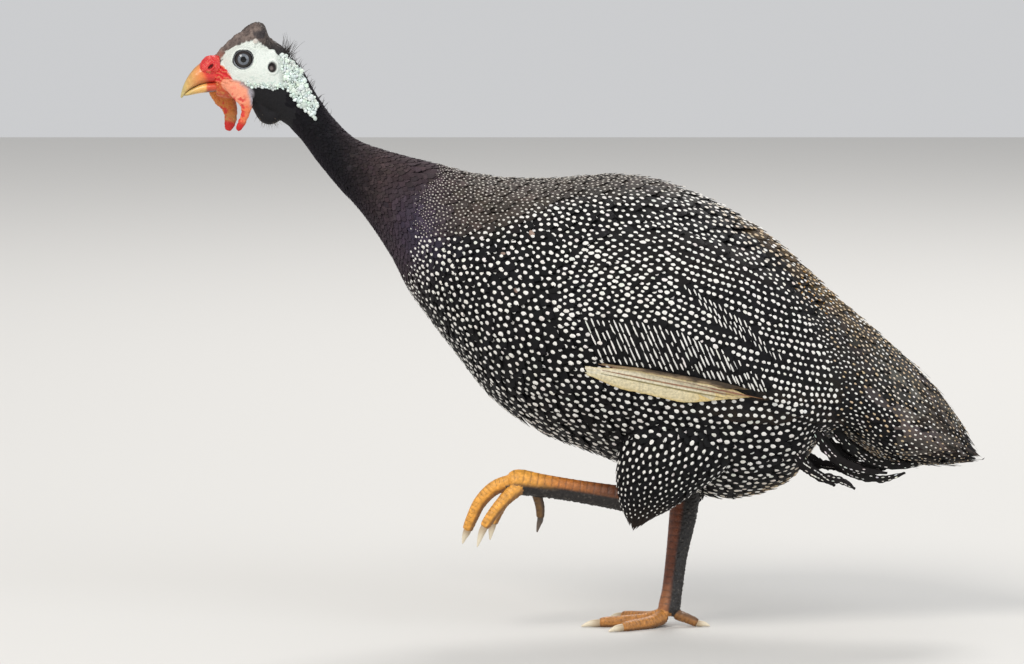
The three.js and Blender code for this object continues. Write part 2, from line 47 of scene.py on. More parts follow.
# Shape of the bird in millimetres, bill towards -X. Each row is a ring of the body: x and z of its top,
# x and z of its bottom, half its width, and how much wider it is below its middle than above.
bodyTable = np.array([
    [-223.6, 345.3, -221.7, 327, 6.2, 0],
    [-218.7, 350.1, -216.2, 325.1, 9.2, 0],
    [-212, 355, -208.9, 324.5, 12.6, -0.05],
    [-203.4, 357.5, -201.6, 322.1, 15.3, -0.05],
    [-194.3, 357.5, -194.3, 318.4, 16.3, 0],
    [-185.1, 355, -188.2, 314.8, 15.4, 0.05],
    [-176.6, 350.1, -182.7, 311.1, 13.8, 0.05],
    [-169.3, 342.2, -177.2, 306.8, 12.4, 0.05],
    [-160.1, 326.4, -169.3, 298.3, 11.6, 0],
    [-149.8, 312.3, -160.1, 285.5, 12.6, 0],
    [-135.7, 299.5, -147.6, 270, 15, 0],
    [-113.2, 291.5, -132, 252.2, 20.5, 0.03],
    [-88.8, 285.5, -116.4, 228.8, 30, 0.06],
    [-64.4, 279.5, -105.4, 207.2, 42, 0.1],
    [-40, 276.8, -93, 189.7, 55, 0.12],
    [-15.6, 276.9, -76.6, 168.4, 66, 0.13],
    [8.9, 278.8, -54, 140.3, 73, 0.13],
    [33.3, 278.8, -24.7, 119.6, 77, 0.12],
    [57.7, 273.3, 11.9, 105.0, 78, 0.1],
    [82.1, 262.9, 48.5, 90.5, 76, 0.08],
    [103.4, 250.7, 82.1, 79, 71, 0.06],
    [121.7, 237.2, 109.5, 81.5, 64, 0.08],
    [138.8, 221.9, 129.5, 91.5, 56, 0.12],
    [155.3, 206.1, 146.1, 114.5, 48, 0.2],
    [173.6, 190.3, 161.4, 115.5, 42, 0.3],
    [194.9, 171, 185.8, 102, 38, 0.34],
    [216.3, 149, 210.2, 99.5, 33, 0.36],
    [231.5, 128.5, 229.3, 100.3, 25, 0.36],
    [241.9, 110.6, 241.9, 103.8, 13, 0.2],
])
bodyEnd = len(bodyTable) - 1
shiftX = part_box("tail")[1][0] * 1000 - bodyTable[-1][0]
headTurn = {"angle": math.radians(8), "pivotX": -150, "start": -70, "end": -175}


def place(points):
    # millimetres of the drawing to metres of the frame, with the head turned
    p = np.array(points, float)
    t = np.clip((headTurn["start"] - p[..., 0]) / (headTurn["start"] - headTurn["end"]), 0, 1)
    a = headTurn["angle"] * t * t * (3 - 2 * t)
    dx = p[..., 0] - headTurn["pivotX"]
    x = headTurn["pivotX"] + dx * np.cos(a) - p[..., 1] * np.sin(a) + shiftX
    y = dx * np.sin(a) + p[..., 1] * np.cos(a)
    return np.stack([x, y, p[..., 2]], -1) / 1000


# Surfaces of the body and limbs
def ease(a, b, x):
    # 0 at a, 1 at b, with a soft start and end
    t = np.clip((np.asarray(x, float) - a) / (b - a), 0, 1)
    return t * t * (3 - 2 * t)


def curveBetween(p0, p1, p2, p3, t):
    # a smooth curve from p1 to p2, with the slopes that p0 and p3 give it
    a, b = (p2 - p0) / 2, (p3 - p1) / 2
    return p1 + (p2 - p1) * t * t * (3 - 2 * t) + a * t * (1 - t) ** 2 - b * t * t * (1 - t)


def unit(vectors, least=0.0):
    # the same directions with a length of one
    return vectors / np.maximum(np.linalg.norm(vectors, axis=-1, keepdims=True), least)


def readTable(table, u):
    # the table's row at u, with smooth values between rows and straight on beyond its end
    last = len(table) - 1
    u = np.asarray(u, float)
    inside = np.clip(u, 0, last)
    i = np.clip(np.floor(inside).astype(int), 0, last - 1)
    t = (inside - i)[..., None]
    value = curveBetween(*(table[np.clip(i + k, 0, last)] for k in (-1, 0, 1, 2)), t)
    return value + (u - inside)[..., None] * (table[-1] - table[-2])


def closedCurve(corners, count):
    p = np.array(corners, float)
    u = np.linspace(0, len(p), count, endpoint=False)
    i = np.floor(u).astype(int)
    t = (u - i)[:, None]
    return curveBetween(*(p[(i + k) % len(p)] for k in (-1, 0, 1, 2)), t)


wing = {
    "outline": [(-20, 208), (-12, 234), (8, 249), (38, 254), (74, 246), (110, 224), (140, 194), (155, 162),
                (158, 138), (150, 125), (133, 133), (104, 147), (72, 156), (38, 164), (8, 172), (-12, 187)],
    "edge": 1.2,
    "rise": 6.2,
    "rowSlope": math.radians(-25),  # the lie of the flight feathers, seen from the left
}
wingRim = closedCurve(wing["outline"], 240)
wingCentre = wingRim.mean(0)
rimAngle = np.arctan2(wingRim[:, 1] - wingCentre[1], wingRim[:, 0] - wingCentre[0])
rimOrder = np.argsort(rimAngle)
rimAngle = rimAngle[rimOrder]
rimRadius = np.hypot(*(wingRim - wingCentre).T)[rimOrder]


def wingShare(x, z):
    # 0 in the wing's middle, 1 at its rim
    a = np.arctan2(z - wingCentre[1], x - wingCentre[0])
    rim = np.interp(a, rimAngle, rimRadius, period=2 * np.pi)
    return np.hypot(x - wingCentre[0], z - wingCentre[1]) / rim


def wingBump(x, z):
    share = wingShare(x, z)
    inside = np.clip(share, 0, 1)
    return ease(1.02, 0.95, share) * (wing["edge"] + wing["rise"] * (1 - inside ** 2.4))


def ringPoint(table, u, v, grow, shortest, thinnest):
    # a point on the ring at u, with v the angle round it: 0 at its top, positive towards the bird's right
    tx, tz, bx, bz, half, pear = np.moveaxis(readTable(table, u), -1, 0)
    cx, cz = (tx + bx) / 2, (tz + bz) / 2
    length = np.maximum(np.hypot(tx - cx, tz - cz), shortest)
    k = np.maximum(length + grow, thinnest) / length
    rise = np.cos(v)
    y = np.maximum(half + grow, thinnest) * np.sin(v) * (1 - pear * rise)
    return cx + (tx - cx) * k * rise, y, cz + (tz - cz) * k * rise


def bodySurface(u, v, grow=0.0):
    x, y, z = ringPoint(bodyTable, u, v, grow, 0.5, 0.4)
    y = y + np.sign(y) * wingBump(x, z) * ease(15, 30, np.abs(y))
    return np.stack([x, y, z], -1)


def flankDepth(x, z):
    # half the body's width at a point seen from the side
    x, z = np.asarray(x, float), np.asarray(z, float)
    low, high = np.full(x.shape, 8.0), np.full(x.shape, float(bodyEnd))
    for _ in range(24):
        u = (low + high) / 2
        tx, tz, bx, bz, half, pear = np.moveaxis(readTable(bodyTable, u), -1, 0)
        behind = (bx - tx) * (z - tz) - (bz - tz) * (x - tx) > 0
        low, high = np.where(behind, u, low), np.where(behind, high, u)
    along = ((x - bx) * (tx - bx) + (z - bz) * (tz - bz)) / ((tx - bx) ** 2 + (tz - bz) ** 2)
    rise = np.clip(along * 2 - 1, -0.99, 0.99)
    return half * np.sqrt(1 - rise * rise) * (1 - pear * rise) + wingBump(x, z)


def flankLeft(x, z, grow=0.0):
    return np.stack([x, -flankDepth(x, z) - grow, z], -1)


def flankRight(x, z, grow=0.0):
    return np.stack([x, flankDepth(x, z) + grow, z], -1)


def limbSurface(path, roundStart=0.0, roundEnd=0.0):
    # path rows: x, y, z, half size across, half size sideways
    table = np.array(path, float)
    last = len(table) - 1

    def surface(u, v, grow=0.0):
        row = readTable(table, u)
        step = 0.05
        middle = np.clip(u, step, last - step)
        along = unit(readTable(table, middle + step)[..., :3] - readTable(table, middle - step)[..., :3])
        side = unit(np.array([0.0, 1.0, 0.0]) - along * along[..., 1:2])
        up = np.cross(side, along)
        k = np.ones(np.shape(u))
        if roundStart:
            k = k * np.sqrt(np.clip(1 - np.clip((roundStart - u) / roundStart, 0, 1) ** 2, 0.002, 1))
        if roundEnd:
            k = k * np.sqrt(np.clip(1 - np.clip((u - last + roundEnd) / roundEnd, 0, 1) ** 2, 0.002, 1))
        upSize, sideSize = np.maximum(row[..., 3] + grow, 0.1) * k, np.maximum(row[..., 4] + grow, 0.1) * k
        return row[..., :3] + up * (upSize * np.cos(v))[..., None] + side * (sideSize * np.sin(v))[..., None]

    surface.last = last
    return surface


thighLeft = [(78, -40, 168, 40, 16), (64, -46, 134, 42, 21), (47, -44, 104, 29, 19), (37, -38, 83, 17, 13),
             (33, -35, 70, 6, 6)]
thighRight = [(86, 40, 165, 36, 16), (80, 44, 130, 36, 21), (74, 38, 104, 26, 17), (68, 29, 86, 15, 11),
              (66, 25, 76, 9.6, 7)]
tarsusLeft = [(37, -34, 82, 8.4, 6.2), (20, -34.6, 84.6, 7.4, 5.0), (-4, -35.2, 88.6, 6.8, 4.4),
              (-24, -35.4, 91.8, 7, 5), (-38, -35.2, 93.8, 7.8, 6.4), (-43, -35, 93, 5.2, 5.2)]
tarsusRight = [(66, 25, 86, 9.2, 6.8), (63.4, 20, 66, 8.4, 5.6), (59.4, 12.6, 42, 6.6, 4.6),
               (56.6, 6.8, 22, 6.2, 4.8), (54.6, 3.8, 11, 6.6, 6.4), (54, 3.2, 6, 4.8, 5.2)]
toes = {
    "left_toe_3": {"path": [(-41, -34.6, 94), (-52, -34, 90.2), (-61, -33.4, 81.4), (-66.4, -33, 70.4),
                            (-69, -32.8, 63.6)],
                   "claw": (-71.8, -32.6, 55.8), "thick": 4.9, "thin": 3.1},
    "left_toe_4": {"path": [(-37.4, -38, 91), (-45, -41, 84.8), (-53, -43, 75.6), (-59, -44, 66.8)],
                   "claw": (-62.8, -44.4, 55.4), "thick": 4.6, "thin": 3.0},
    "left_toe_2": {"path": [(-38.6, -31.4, 90.4), (-46, -27.4, 82.4), (-51, -25.6, 73.6), (-53.6, -25, 66.6)],
                   "claw": (-55.2, -24.8, 57), "thick": 4.4, "thin": 3.0},
    "left_toe_1": {"path": [(-27.4, -33, 88.6), (-24.8, -32.2, 79), (-24.4, -31.8, 71)],
                   "claw": (-26.6, -31.6, 62.6), "thick": 3.2, "thin": 2.5},
    "right_toe_3": {"path": [(51.6, 2.8, 6.8), (40, 1.6, 3.8), (25, 0, 3.1), (11, -1.4, 2.6)],
                    "claw": (0.6, -2.4, 0.6), "thick": 4.9, "thin": 3.2},
    "right_toe_4": {"path": [(52.6, 5.6, 6.6), (44, 13.6, 3.6), (33.6, 22.4, 2.9), (26, 28, 2.5)],
                    "claw": (18, 32.6, 0.6), "thick": 4.6, "thin": 3.1},
    "right_toe_2": {"path": [(52.2, 0.6, 6.6), (42.6, -7.4, 3.6), (32, -15, 2.9), (25, -20, 2.5)],
                    "claw": (17, -24, 0.6), "thick": 4.4, "thin": 3.1},
    "right_toe_1": {"path": [(58, 3, 7.6), (66, 1.4, 4.8), (72.4, 0, 2.1)],
                    "claw": (79.6, -1.4, 0.6), "thick": 3.4, "thin": 2.7},
}


# Mesh helpers
def gridFaces(rows, cols, wrap=False):
    # quads between the points of a grid, closed into a tube if wrap is true
    r, c = np.meshgrid(np.arange(rows - 1), np.arange(cols if wrap else cols - 1), indexing="ij")
    c2 = (c + 1) % cols
    quads = np.stack([r * cols + c, r * cols + c2, (r + 1) * cols + c2, (r + 1) * cols + c], -1)
    return quads.reshape(-1, 4)


def newPiece(name, points, faces, materials, tint=None, uvs=None, faceMaterial=None):
    mesh = bpy.data.meshes.new(name)
    vertices = np.asarray(points, float).reshape(-1, 3).tolist()
    mesh.from_pydata(vertices, [], [list(map(int, f)) for f in faces])
    mesh.shade_smooth()
    for material in materials:
        mesh.materials.append(material)
    if tint is not None:
        colours = np.ones((len(mesh.vertices), 4), np.float32)
        colours[:, :3] = np.asarray(tint).reshape(-1, 3)
        mesh.attributes.new("tint", "FLOAT_COLOR", "POINT").data.foreach_set("color", colours.ravel())
    corners = np.empty(len(mesh.loops), np.int64)
    mesh.loops.foreach_get("vertex_index", corners)
    for uvName, uv in (uvs or {}).items():
        layer = mesh.uv_layers.new(name=uvName)
        layer.data.foreach_set("uv", np.asarray(uv, np.float32).reshape(-1, 2)[corners].ravel())
    if faceMaterial is not None:
        mesh.polygons.foreach_set("material_index", np.asarray(faceMaterial, np.int32))
    mesh.update()
    piece = bpy.data.objects.new(name, mesh)
    bpy.context.scene.collection.objects.link(piece)
    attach(piece, "root")
    return piece


def joinMeshes(parts):
    # the points and faces of several meshes as those of one
    points, faces, count = [], [], 0
    for p, f in parts:
        points.append(p)
        faces += [[i + count for i in face] for face in f]
        count += len(p)
    return np.concatenate(points), faces


def treeOf(points):
    # finds the nearest of these points
    tree = KDTree(len(points))
    for i, point in enumerate(points.tolist()):
        tree.insert(point, i)
    tree.balance()
    return tree


def outOf(surface, u, v):
    # the way straight out of a surface
    return surface(u, v, 1.0) - surface(u, v, 0.0)


def fbm(points, size, seed=0.0, octaves=3):
    # soft lumps of about this size, from -1 to 1
    out = np.empty(len(points))
    for i, (x, y, z) in enumerate(points):
        out[i] = noise.fractal(Vector((x / size + seed, y / size, z / size)), 1.0, 2.0, octaves)
    return out


def polygonDistance(x, z, corners):
    # below 0 inside the outline
    x, z = np.asarray(x, float), np.asarray(z, float)
    best = np.full(x.shape, 1e9)
    inside = np.zeros(x.shape, bool)
    for (ax, az), (bx, bz) in zip(corners, corners[1:] + corners[:1]):
        t = np.clip(((x - ax) * (bx - ax) + (z - az) * (bz - az)) / ((bx - ax) ** 2 + (bz - az) ** 2), 0, 1)
        best = np.minimum(best, np.hypot(x - ax - t * (bx - ax), z - az - t * (bz - az)))
        crosses = ((az > z) != (bz > z)) & (x < (bx - ax) * (z - az) / ((bz - az) if bz != az else 1e-9) + ax)
        inside ^= crosses
    return np.where(inside, -best, best)


def blendTo(colours, target, amount):
    # amount 0 keeps the colours, 1 gives the target
    return colours * (1 - amount[:, None]) + np.asarray(target) * amount[:, None]


def paintAll(colours, coats):
    # coats of colour and amount, one over the other
    for colour, amount in coats:
        colours = blendTo(colours, colour, amount)
    return colours


# Material helpers
def addNode(tree, kind, values=None, **settings):
    node = tree.nodes.new(kind)
    for key, value in settings.items():
        setattr(node, key, value)
    for key, value in (values or {}).items():
        if isinstance(value, bpy.types.NodeSocket):
            tree.links.new(value, node.inputs[key])
        else:
            node.inputs[key].default_value = value
    return node


def mathNode(tree, operation, *values, clamp=False):
    node = addNode(tree, "ShaderNodeMath", dict(enumerate(values)), operation=operation, use_clamp=clamp)
    return node.outputs[0]


def mixColor(tree, factor, a, b, blend="MIX"):
    node = addNode(tree, "ShaderNodeMix", data_type="RGBA", blend_type=blend)
    for socket, value in ((node.inputs[0], factor), (node.inputs[6], a), (node.inputs[7], b)):
        if isinstance(value, bpy.types.NodeSocket):
            tree.links.new(value, socket)
        elif isinstance(value, (int, float)):
            socket.default_value = value
        else:
            socket.default_value = (*value, 1)
    return node.outputs[2]


def newMaterial(name, **values):
    material = bpy.data.materials.new(name)
    material.use_nodes = True
    tree = material.node_tree
    shader = tree.nodes["Principled BSDF"]
    for key, value in values.items():
        socket = shader.inputs[key.replace("_", " ")]
        socket.default_value = (*value, 1) if socket.type == "RGBA" else value
    return material, tree, shader


def newGroup(name, inputs, outputs):
    tree = bpy.data.node_groups.new(name, "ShaderNodeTree")
    for socketName, kind, value in inputs:
        socket = tree.interface.new_socket(socketName, in_out="INPUT", socket_type=kind)
        socket.default_value = value
    for socketName, kind in outputs:
        tree.interface.new_socket(socketName, in_out="OUTPUT", socket_type=kind)
    return tree, tree.nodes.new("NodeGroupInput"), tree.nodes.new("NodeGroupOutput")


def tintOf(tree):
    return addNode(tree, "ShaderNodeAttribute", attribute_name="tint").outputs["Color"]


def placeOf(tree):
    return tree.nodes.new("ShaderNodeNewGeometry").outputs["Position"]


# Fine lines of barbs slanting off a feather's shaft
barbGroup, barbIn, barbOut = newGroup(
    "featherBarbs", [("Lines", "NodeSocketFloat", 40.0), ("Strength", "NodeSocketFloat", 0.3)],
    [("Shade", "NodeSocketFloat"), ("Normal", "NodeSocketVector")])


def barbMath(operation, *values, clamp=False):
    return mathNode(barbGroup, operation, *values, clamp=clamp)


vane = addNode(barbGroup, "ShaderNodeUVMap", uv_map="vane").outputs[0]
split = addNode(barbGroup, "ShaderNodeSeparateXYZ", {0: vane})
offShaft = barbMath("ABSOLUTE", barbMath("SUBTRACT", split.outputs[0], 0.5))
slant = barbMath("SUBTRACT", split.outputs[1], barbMath("MULTIPLY", offShaft, 0.7))
wave = barbMath("SINE", barbMath("MULTIPLY", slant, barbMath("MULTIPLY", barbIn.outputs[0], 6.283)))
shaft = barbMath("SUBTRACT", 1.0, barbMath("MULTIPLY", offShaft, 22.0), clamp=True)
height = barbMath("ADD", wave, barbMath("MULTIPLY", shaft, 3.0))
barbBump = addNode(barbGroup, "ShaderNodeBump", {"Strength": barbIn.outputs[1], "Distance": 0.0002,
        "Height": height})
barbGroup.links.new(barbMath("MULTIPLY_ADD", wave, 0.5, 0.5), barbOut.inputs[0])
barbGroup.links.new(barbBump.outputs[0], barbOut.inputs[1])

# Crinkles and pores of bare skin and horn
crinkleGroup, crinkleIn, crinkleOut = newGroup(
    "crinkledSkin", [("Size", "NodeSocketFloat", 900.0), ("Depth", "NodeSocketFloat", 0.0004)],
    [("Shade", "NodeSocketFloat"), ("Normal", "NodeSocketVector")])
spot = placeOf(crinkleGroup)
warp = addNode(crinkleGroup, "ShaderNodeTexNoise",
               {"Vector": spot, "Scale": crinkleIn.outputs[0], "Detail": 4.0, "Roughness": 0.65})
shift = addNode(crinkleGroup, "ShaderNodeVectorMath", {0: warp.outputs["Color"], 1: (0.0008, 0.0008, 0.0008)},
                operation="MULTIPLY")
bent = addNode(crinkleGroup, "ShaderNodeVectorMath", {0: spot, 1: shift.outputs[0]}, operation="ADD")
cells = addNode(crinkleGroup, "ShaderNodeTexVoronoi",
                {"Vector": bent.outputs[0], "Scale": crinkleIn.outputs[0]},
                feature="DISTANCE_TO_EDGE")
pores = mathNode(crinkleGroup, "MULTIPLY", cells.outputs["Distance"], 1.4, clamp=True)
skinHeight = mathNode(crinkleGroup, "ADD", pores,
        mathNode(crinkleGroup, "MULTIPLY", warp.outputs["Fac"], 0.7))
crinkleBump = addNode(crinkleGroup, "ShaderNodeBump",
                      {"Strength": 0.8, "Distance": crinkleIn.outputs[1], "Height": skinHeight})
crinkleGroup.links.new(warp.outputs["Fac"], crinkleOut.inputs[0])
crinkleGroup.links.new(crinkleBump.outputs[0], crinkleOut.inputs[1])


def featherMaterial(name, lines, strength, depth, **values):
    material, tree, shader = newMaterial(name, **values)
    barbs = addNode(tree, "ShaderNodeGroup", {"Lines": lines, "Strength": strength}, node_tree=barbGroup)
    grain = addNode(tree, "ShaderNodeTexNoise", {"Vector": placeOf(tree), "Scale": 700.0, "Detail": 3.0})
    dark = mixColor(tree, mathNode(tree, "MULTIPLY", barbs.outputs["Shade"], depth), tintOf(tree),
                    (0.0, 0.0, 0.0))
    tone = mathNode(tree, "MULTIPLY_ADD", grain.outputs["Fac"], 1.0, 0.5)
    gray = addNode(tree, "ShaderNodeCombineColor", {0: tone, 1: tone, 2: tone}).outputs[0]
    tree.links.new(mixColor(tree, 1.0, dark, gray, "MULTIPLY"), shader.inputs["Base Color"])
    tree.links.new(barbs.outputs["Normal"], shader.inputs["Normal"])
    return material


def skinMaterial(name, size, depth, mottle, dullDark=False, **values):
    material, tree, shader = newMaterial(name, **values)
    crinkle = addNode(tree, "ShaderNodeGroup", {"Size": size, "Depth": depth}, node_tree=crinkleGroup)
    tone = mathNode(tree, "MULTIPLY_ADD", crinkle.outputs["Shade"], mottle, 1 - mottle / 2)
    gray = addNode(tree, "ShaderNodeCombineColor", {0: tone, 1: tone, 2: tone}).outputs[0]
    tree.links.new(mixColor(tree, 1.0, tintOf(tree), gray, "MULTIPLY"), shader.inputs["Base Color"])
    tree.links.new(crinkle.outputs["Normal"], shader.inputs["Normal"])
    if dullDark:
        grey = addNode(tree, "ShaderNodeRGBToBW", {0: tintOf(tree)}).outputs[0]
        rough = mathNode(tree, "MAXIMUM", mathNode(tree, "MULTIPLY_ADD", grey, -2.6, 0.85), 0.4)
        tree.links.new(rough, shader.inputs["Roughness"])
    return material


coatBlack = featherMaterial("coatBlack", 34.0, 0.3, 0.35, Roughness=0.6, Specular_IOR_Level=0.13)
neckVelvet = featherMaterial("neckVelvet", 16.0, 0.2, 0.2, Roughness=0.85, Specular_IOR_Level=0.12,
        Sheen_Weight=0.08,
                             Sheen_Roughness=0.5, Sheen_Tint=(0.45, 0.35, 0.5))
creamQuill = featherMaterial("creamQuill", 60.0, 0.35, 0.12, Roughness=0.5, Specular_IOR_Level=0.3)
spotWhite = skinMaterial("spotWhite", 1800.0, 0.00012, 0.25, Roughness=0.7, Specular_IOR_Level=0.2)
scaleSkin = skinMaterial("scaleSkin", 650.0, 0.0003, 0.35, Roughness=0.42, Specular_IOR_Level=0.45)
wattleSkin = skinMaterial("wattleSkin", 800.0, 0.00022, 0.22, dullDark=True, Specular_IOR_Level=0.28,
                          Subsurface_Radius=(0.004, 0.0012, 0.0008), Subsurface_Scale=0.6)
cereSkin = skinMaterial("cereSkin", 900.0, 0.0003, 0.35, Roughness=0.33, Specular_IOR_Level=0.5)
billHorn = skinMaterial("billHorn", 380.0, 0.00006, 0.16, Roughness=0.3, Specular_IOR_Level=0.5)
casqueHorn = skinMaterial("casqueHorn", 420.0, 0.0007, 0.7, Roughness=0.6, Specular_IOR_Level=0.35)
clawHorn = skinMaterial("clawHorn", 500.0, 0.00005, 0.25, Roughness=0.35, Specular_IOR_Level=0.5)
bristleDark = skinMaterial("bristleDark", 900.0, 0.00002, 0.2, Roughness=0.6)
print("materials made")


# Scattering points and laying feathers
def stepLengths(surface, u, v):
    # how far and which way a point moves for each step of u and of v
    e = 0.5 if surface in (flankLeft, flankRight) else 0.02
    mu = (surface(u + e, v, 0.0) - surface(u - e, v, 0.0)) / (2 * e)
    mv = (surface(u, v + e, 0.0) - surface(u, v - e, 0.0)) / (2 * e)
    return mu, mv


def scatter(surface, uRange, vRange, spacing, keep=None, relax=6, batches=14, batchSize=6000, closeness=0.86):
    # points spread evenly, spacing(points) apart in millimetres
    chosenU, chosenV, chosenP, chosenR = (np.empty(0), np.empty(0), np.empty((0, 3)), np.empty(0))
    for _ in range(batches):
        u = rng.uniform(*uRange, batchSize)
        v = rng.uniform(*vRange, batchSize)
        mu, mv = stepLengths(surface, u, v)
        area = np.linalg.norm(np.cross(mu, mv), axis=-1)
        r = spacing(surface(u, v))
        chance = area / (r * r)
        ok = rng.random(batchSize) < chance / np.percentile(chance, 98)
        if keep is not None:
            ok &= keep(surface(u, v))
        u, v, r = u[ok], v[ok], r[ok]
        p = surface(u, v)
        if len(chosenP):
            tree = treeOf(chosenP)
            free = np.array([tree.find(q)[2] > closeness * d for q, d in zip(p.tolist(), r)], bool)
            u, v, r, p = u[free], v[free], r[free], p[free]
        if not len(p):
            continue
        tree = treeOf(p)
        alive = np.ones(len(p), bool)
        for i, (q, d) in enumerate(zip(p.tolist(), r)):
            if alive[i]:
                for _, j, _ in tree.find_range(q, closeness * d):
                    if j > i:
                        alive[j] = False
        chosenU, chosenV = np.append(chosenU, u[alive]), np.append(chosenV, v[alive])
        chosenP, chosenR = np.vstack([chosenP, p[alive]]), np.append(chosenR, r[alive])
    u, v = chosenU, chosenV
    for _ in range(relax):
        p = surface(u, v)
        r = spacing(p)
        tree = treeOf(p)
        push = np.zeros_like(p)
        for i, q in enumerate(p.tolist()):
            for _, j, d in tree.find_n(q, 7)[1:]:
                gap = 1.08 * r[i] - d
                if gap > 0:
                    push[i] += (p[i] - p[j]) / max(d, 0.01) * gap * 0.28
        mu, mv = stepLengths(surface, u, v)
        a, b, c = (mu * mu).sum(-1), (mu * mv).sum(-1), (mv * mv).sum(-1)
        e, f = (push * mu).sum(-1), (push * mv).sum(-1)
        det = a * c - b * b
        u = np.clip(u + (c * e - b * f) / det, *uRange)
        v = v + (a * f - b * e) / det
        if vRange[1] - vRange[0] < 6:
            v = np.clip(v, *vRange)
    return u, v


def featherShape(rows, cols, point, rootWidth):
    # how wide a feather is along its length: narrow at the root, round from the share "point" to the tip
    s = np.sin(np.linspace(0, 1, rows) * np.pi / 2) ** 0.9
    t = np.linspace(-1, 1, cols)
    tip = np.sqrt(np.clip(1 - np.clip((s - point) / (1.0 - point), 0, 1) ** 2, 0.004, 1))
    root = rootWidth + (1 - rootWidth) * ease(0, 0.35, s)
    return s, t, tip * root


def layFeathers(surface, u, v, length, width, angle, root, tip, tint, rows=8, cols=5, camber=0.16, point=0.5,
                ragged=0.0, rootWidth=0.35, edgeTint=None, patch=(0.0, 0.0), patchScale=(1.0, 1.0)):
    # one curved vane for every root point; length and width in millimetres, root and tip as heights over the
    # surface; returns points, faces, tints and UV maps
    n = len(u)
    one = np.ones(n)
    length, width, angle, root, tip = (np.asarray(a) * one for a in (length, width, angle, root, tip))
    mu, mv = stepLengths(surface, u, v)
    nu, nv = np.linalg.norm(mu, axis=-1), np.linalg.norm(mv, axis=-1)
    lean = (mu * mv).sum(-1) / (nu * nv)
    s, t, profile = featherShape(rows, cols, point, rootWidth)
    sGrid, tGrid = np.meshgrid(s, t, indexing="ij")
    half = profile[:, None] * width[:, None, None] / 2
    notch = ragged * rng.normal(0, 1, (n, 1, cols)) * sGrid ** 4
    along = length[:, None, None] * (sGrid - 0.10 * sGrid * tGrid ** 2 + notch)
    across = half * tGrid + (rng.normal(0, 0.035, (n, rows, cols)) * tGrid ** 2) * half
    ca, sa = np.cos(angle)[:, None, None], np.sin(angle)[:, None, None]
    e1, e2 = along * ca - across * sa, along * sa + across * ca
    side = np.sqrt(np.clip(1 - lean ** 2, 0.1, 1))[:, None, None]
    dv = e2 / side / nv[:, None, None]
    du = (e1 - e2 / side * lean[:, None, None]) / nu[:, None, None]
    roll = rng.normal(0, 0.05, (n, 1, 1))
    lift = root[:, None, None] + (tip - root)[:, None, None] * sGrid ** 0.75
    grow = lift - camber * half * tGrid ** 2 + roll * across
    points = surface(u[:, None, None] + du, v[:, None, None] + dv, grow).reshape(-1, 3)
    faces = (np.arange(n)[:, None, None] * rows * cols + gridFaces(rows, cols)[None]).reshape(-1, 4)
    colours = np.repeat(tint[:, None, :], rows * cols, axis=1)
    if edgeTint is not None:
        edge = (np.maximum(np.abs(tGrid) ** 4, sGrid ** 9)).reshape(1, -1, 1)
        colours = colours * (1 - edge) + edgeTint[:, None, :] * edge
    vaneUv = np.broadcast_to(np.stack([tGrid / 2 + 0.5, sGrid], -1), (n, rows, cols, 2)).reshape(-1, 2)
    rootUv = np.stack([patch[0] + patchScale[0] * u, patch[1] + patchScale[1] * v], -1)
    bake = (rootUv[:, None, None, :] + 0.003 * np.stack([tGrid / 2 + 0.5, sGrid], -1)[None]).reshape(-1, 2)
    return points, faces, colours.reshape(-1, 3), vaneUv, bake


def joinSheets(sheets):
    points, faces, tints, vanes, bakes, count = [], [], [], [], [], 0
    for p, f, c, a, b in sheets:
        points.append(p)
        faces.append(f + count)
        tints.append(c)
        vanes.append(a)
        bakes.append(b)
        count += len(p)
    return [np.concatenate(x) for x in (points, faces, tints, vanes, bakes)]


# Where each piece's feathers lie in the bake map: a corner, and a size for each unit of the surface
bakePatch = {
    "body": {"patch": (0.02, 0.5), "patchScale": (0.6 / 28, 0.47 / np.pi)},
    "wingLeft": {"patch": (0.75, 0.1), "patchScale": (0.001, 0.001)},
    "wingRight": {"patch": (0.75, 0.55), "patchScale": (0.001, 0.001)},
    "thighLeft": {"patch": (0.82, 0.5), "patchScale": (0.03, 0.47 / np.pi)},
    "thighRight": {"patch": (0.87, 0.5), "patchScale": (0.03, 0.47 / np.pi)},
    "primariesLeft": {"patch": (0.9, 0.1), "patchScale": (0.0006, 0.0006)},
    "primariesRight": {"patch": (0.9, 0.55), "patchScale": (0.0006, 0.0006)},
}
coatSheets = []


def coatPiece(name, material, sheets):
    points, faces, tints, vanes, bakes = joinSheets(sheets)
    newPiece(name, place(points), faces, [material], tints, {"vane": vanes, "OFBake": bakes})
    coatSheets.append((points, faces))
    print(name, len(points), "points", 2 * len(faces), "triangles")


def paint(count, colour, spread=0.15, cast=0.04):
    # one colour for every feather, a little lighter or darker by chance
    light = np.exp(rng.normal(0, spread, (count, 1)))
    return np.clip(np.asarray(colour) * light * np.exp(rng.normal(0, cast, (count, 3))), 0, 1)


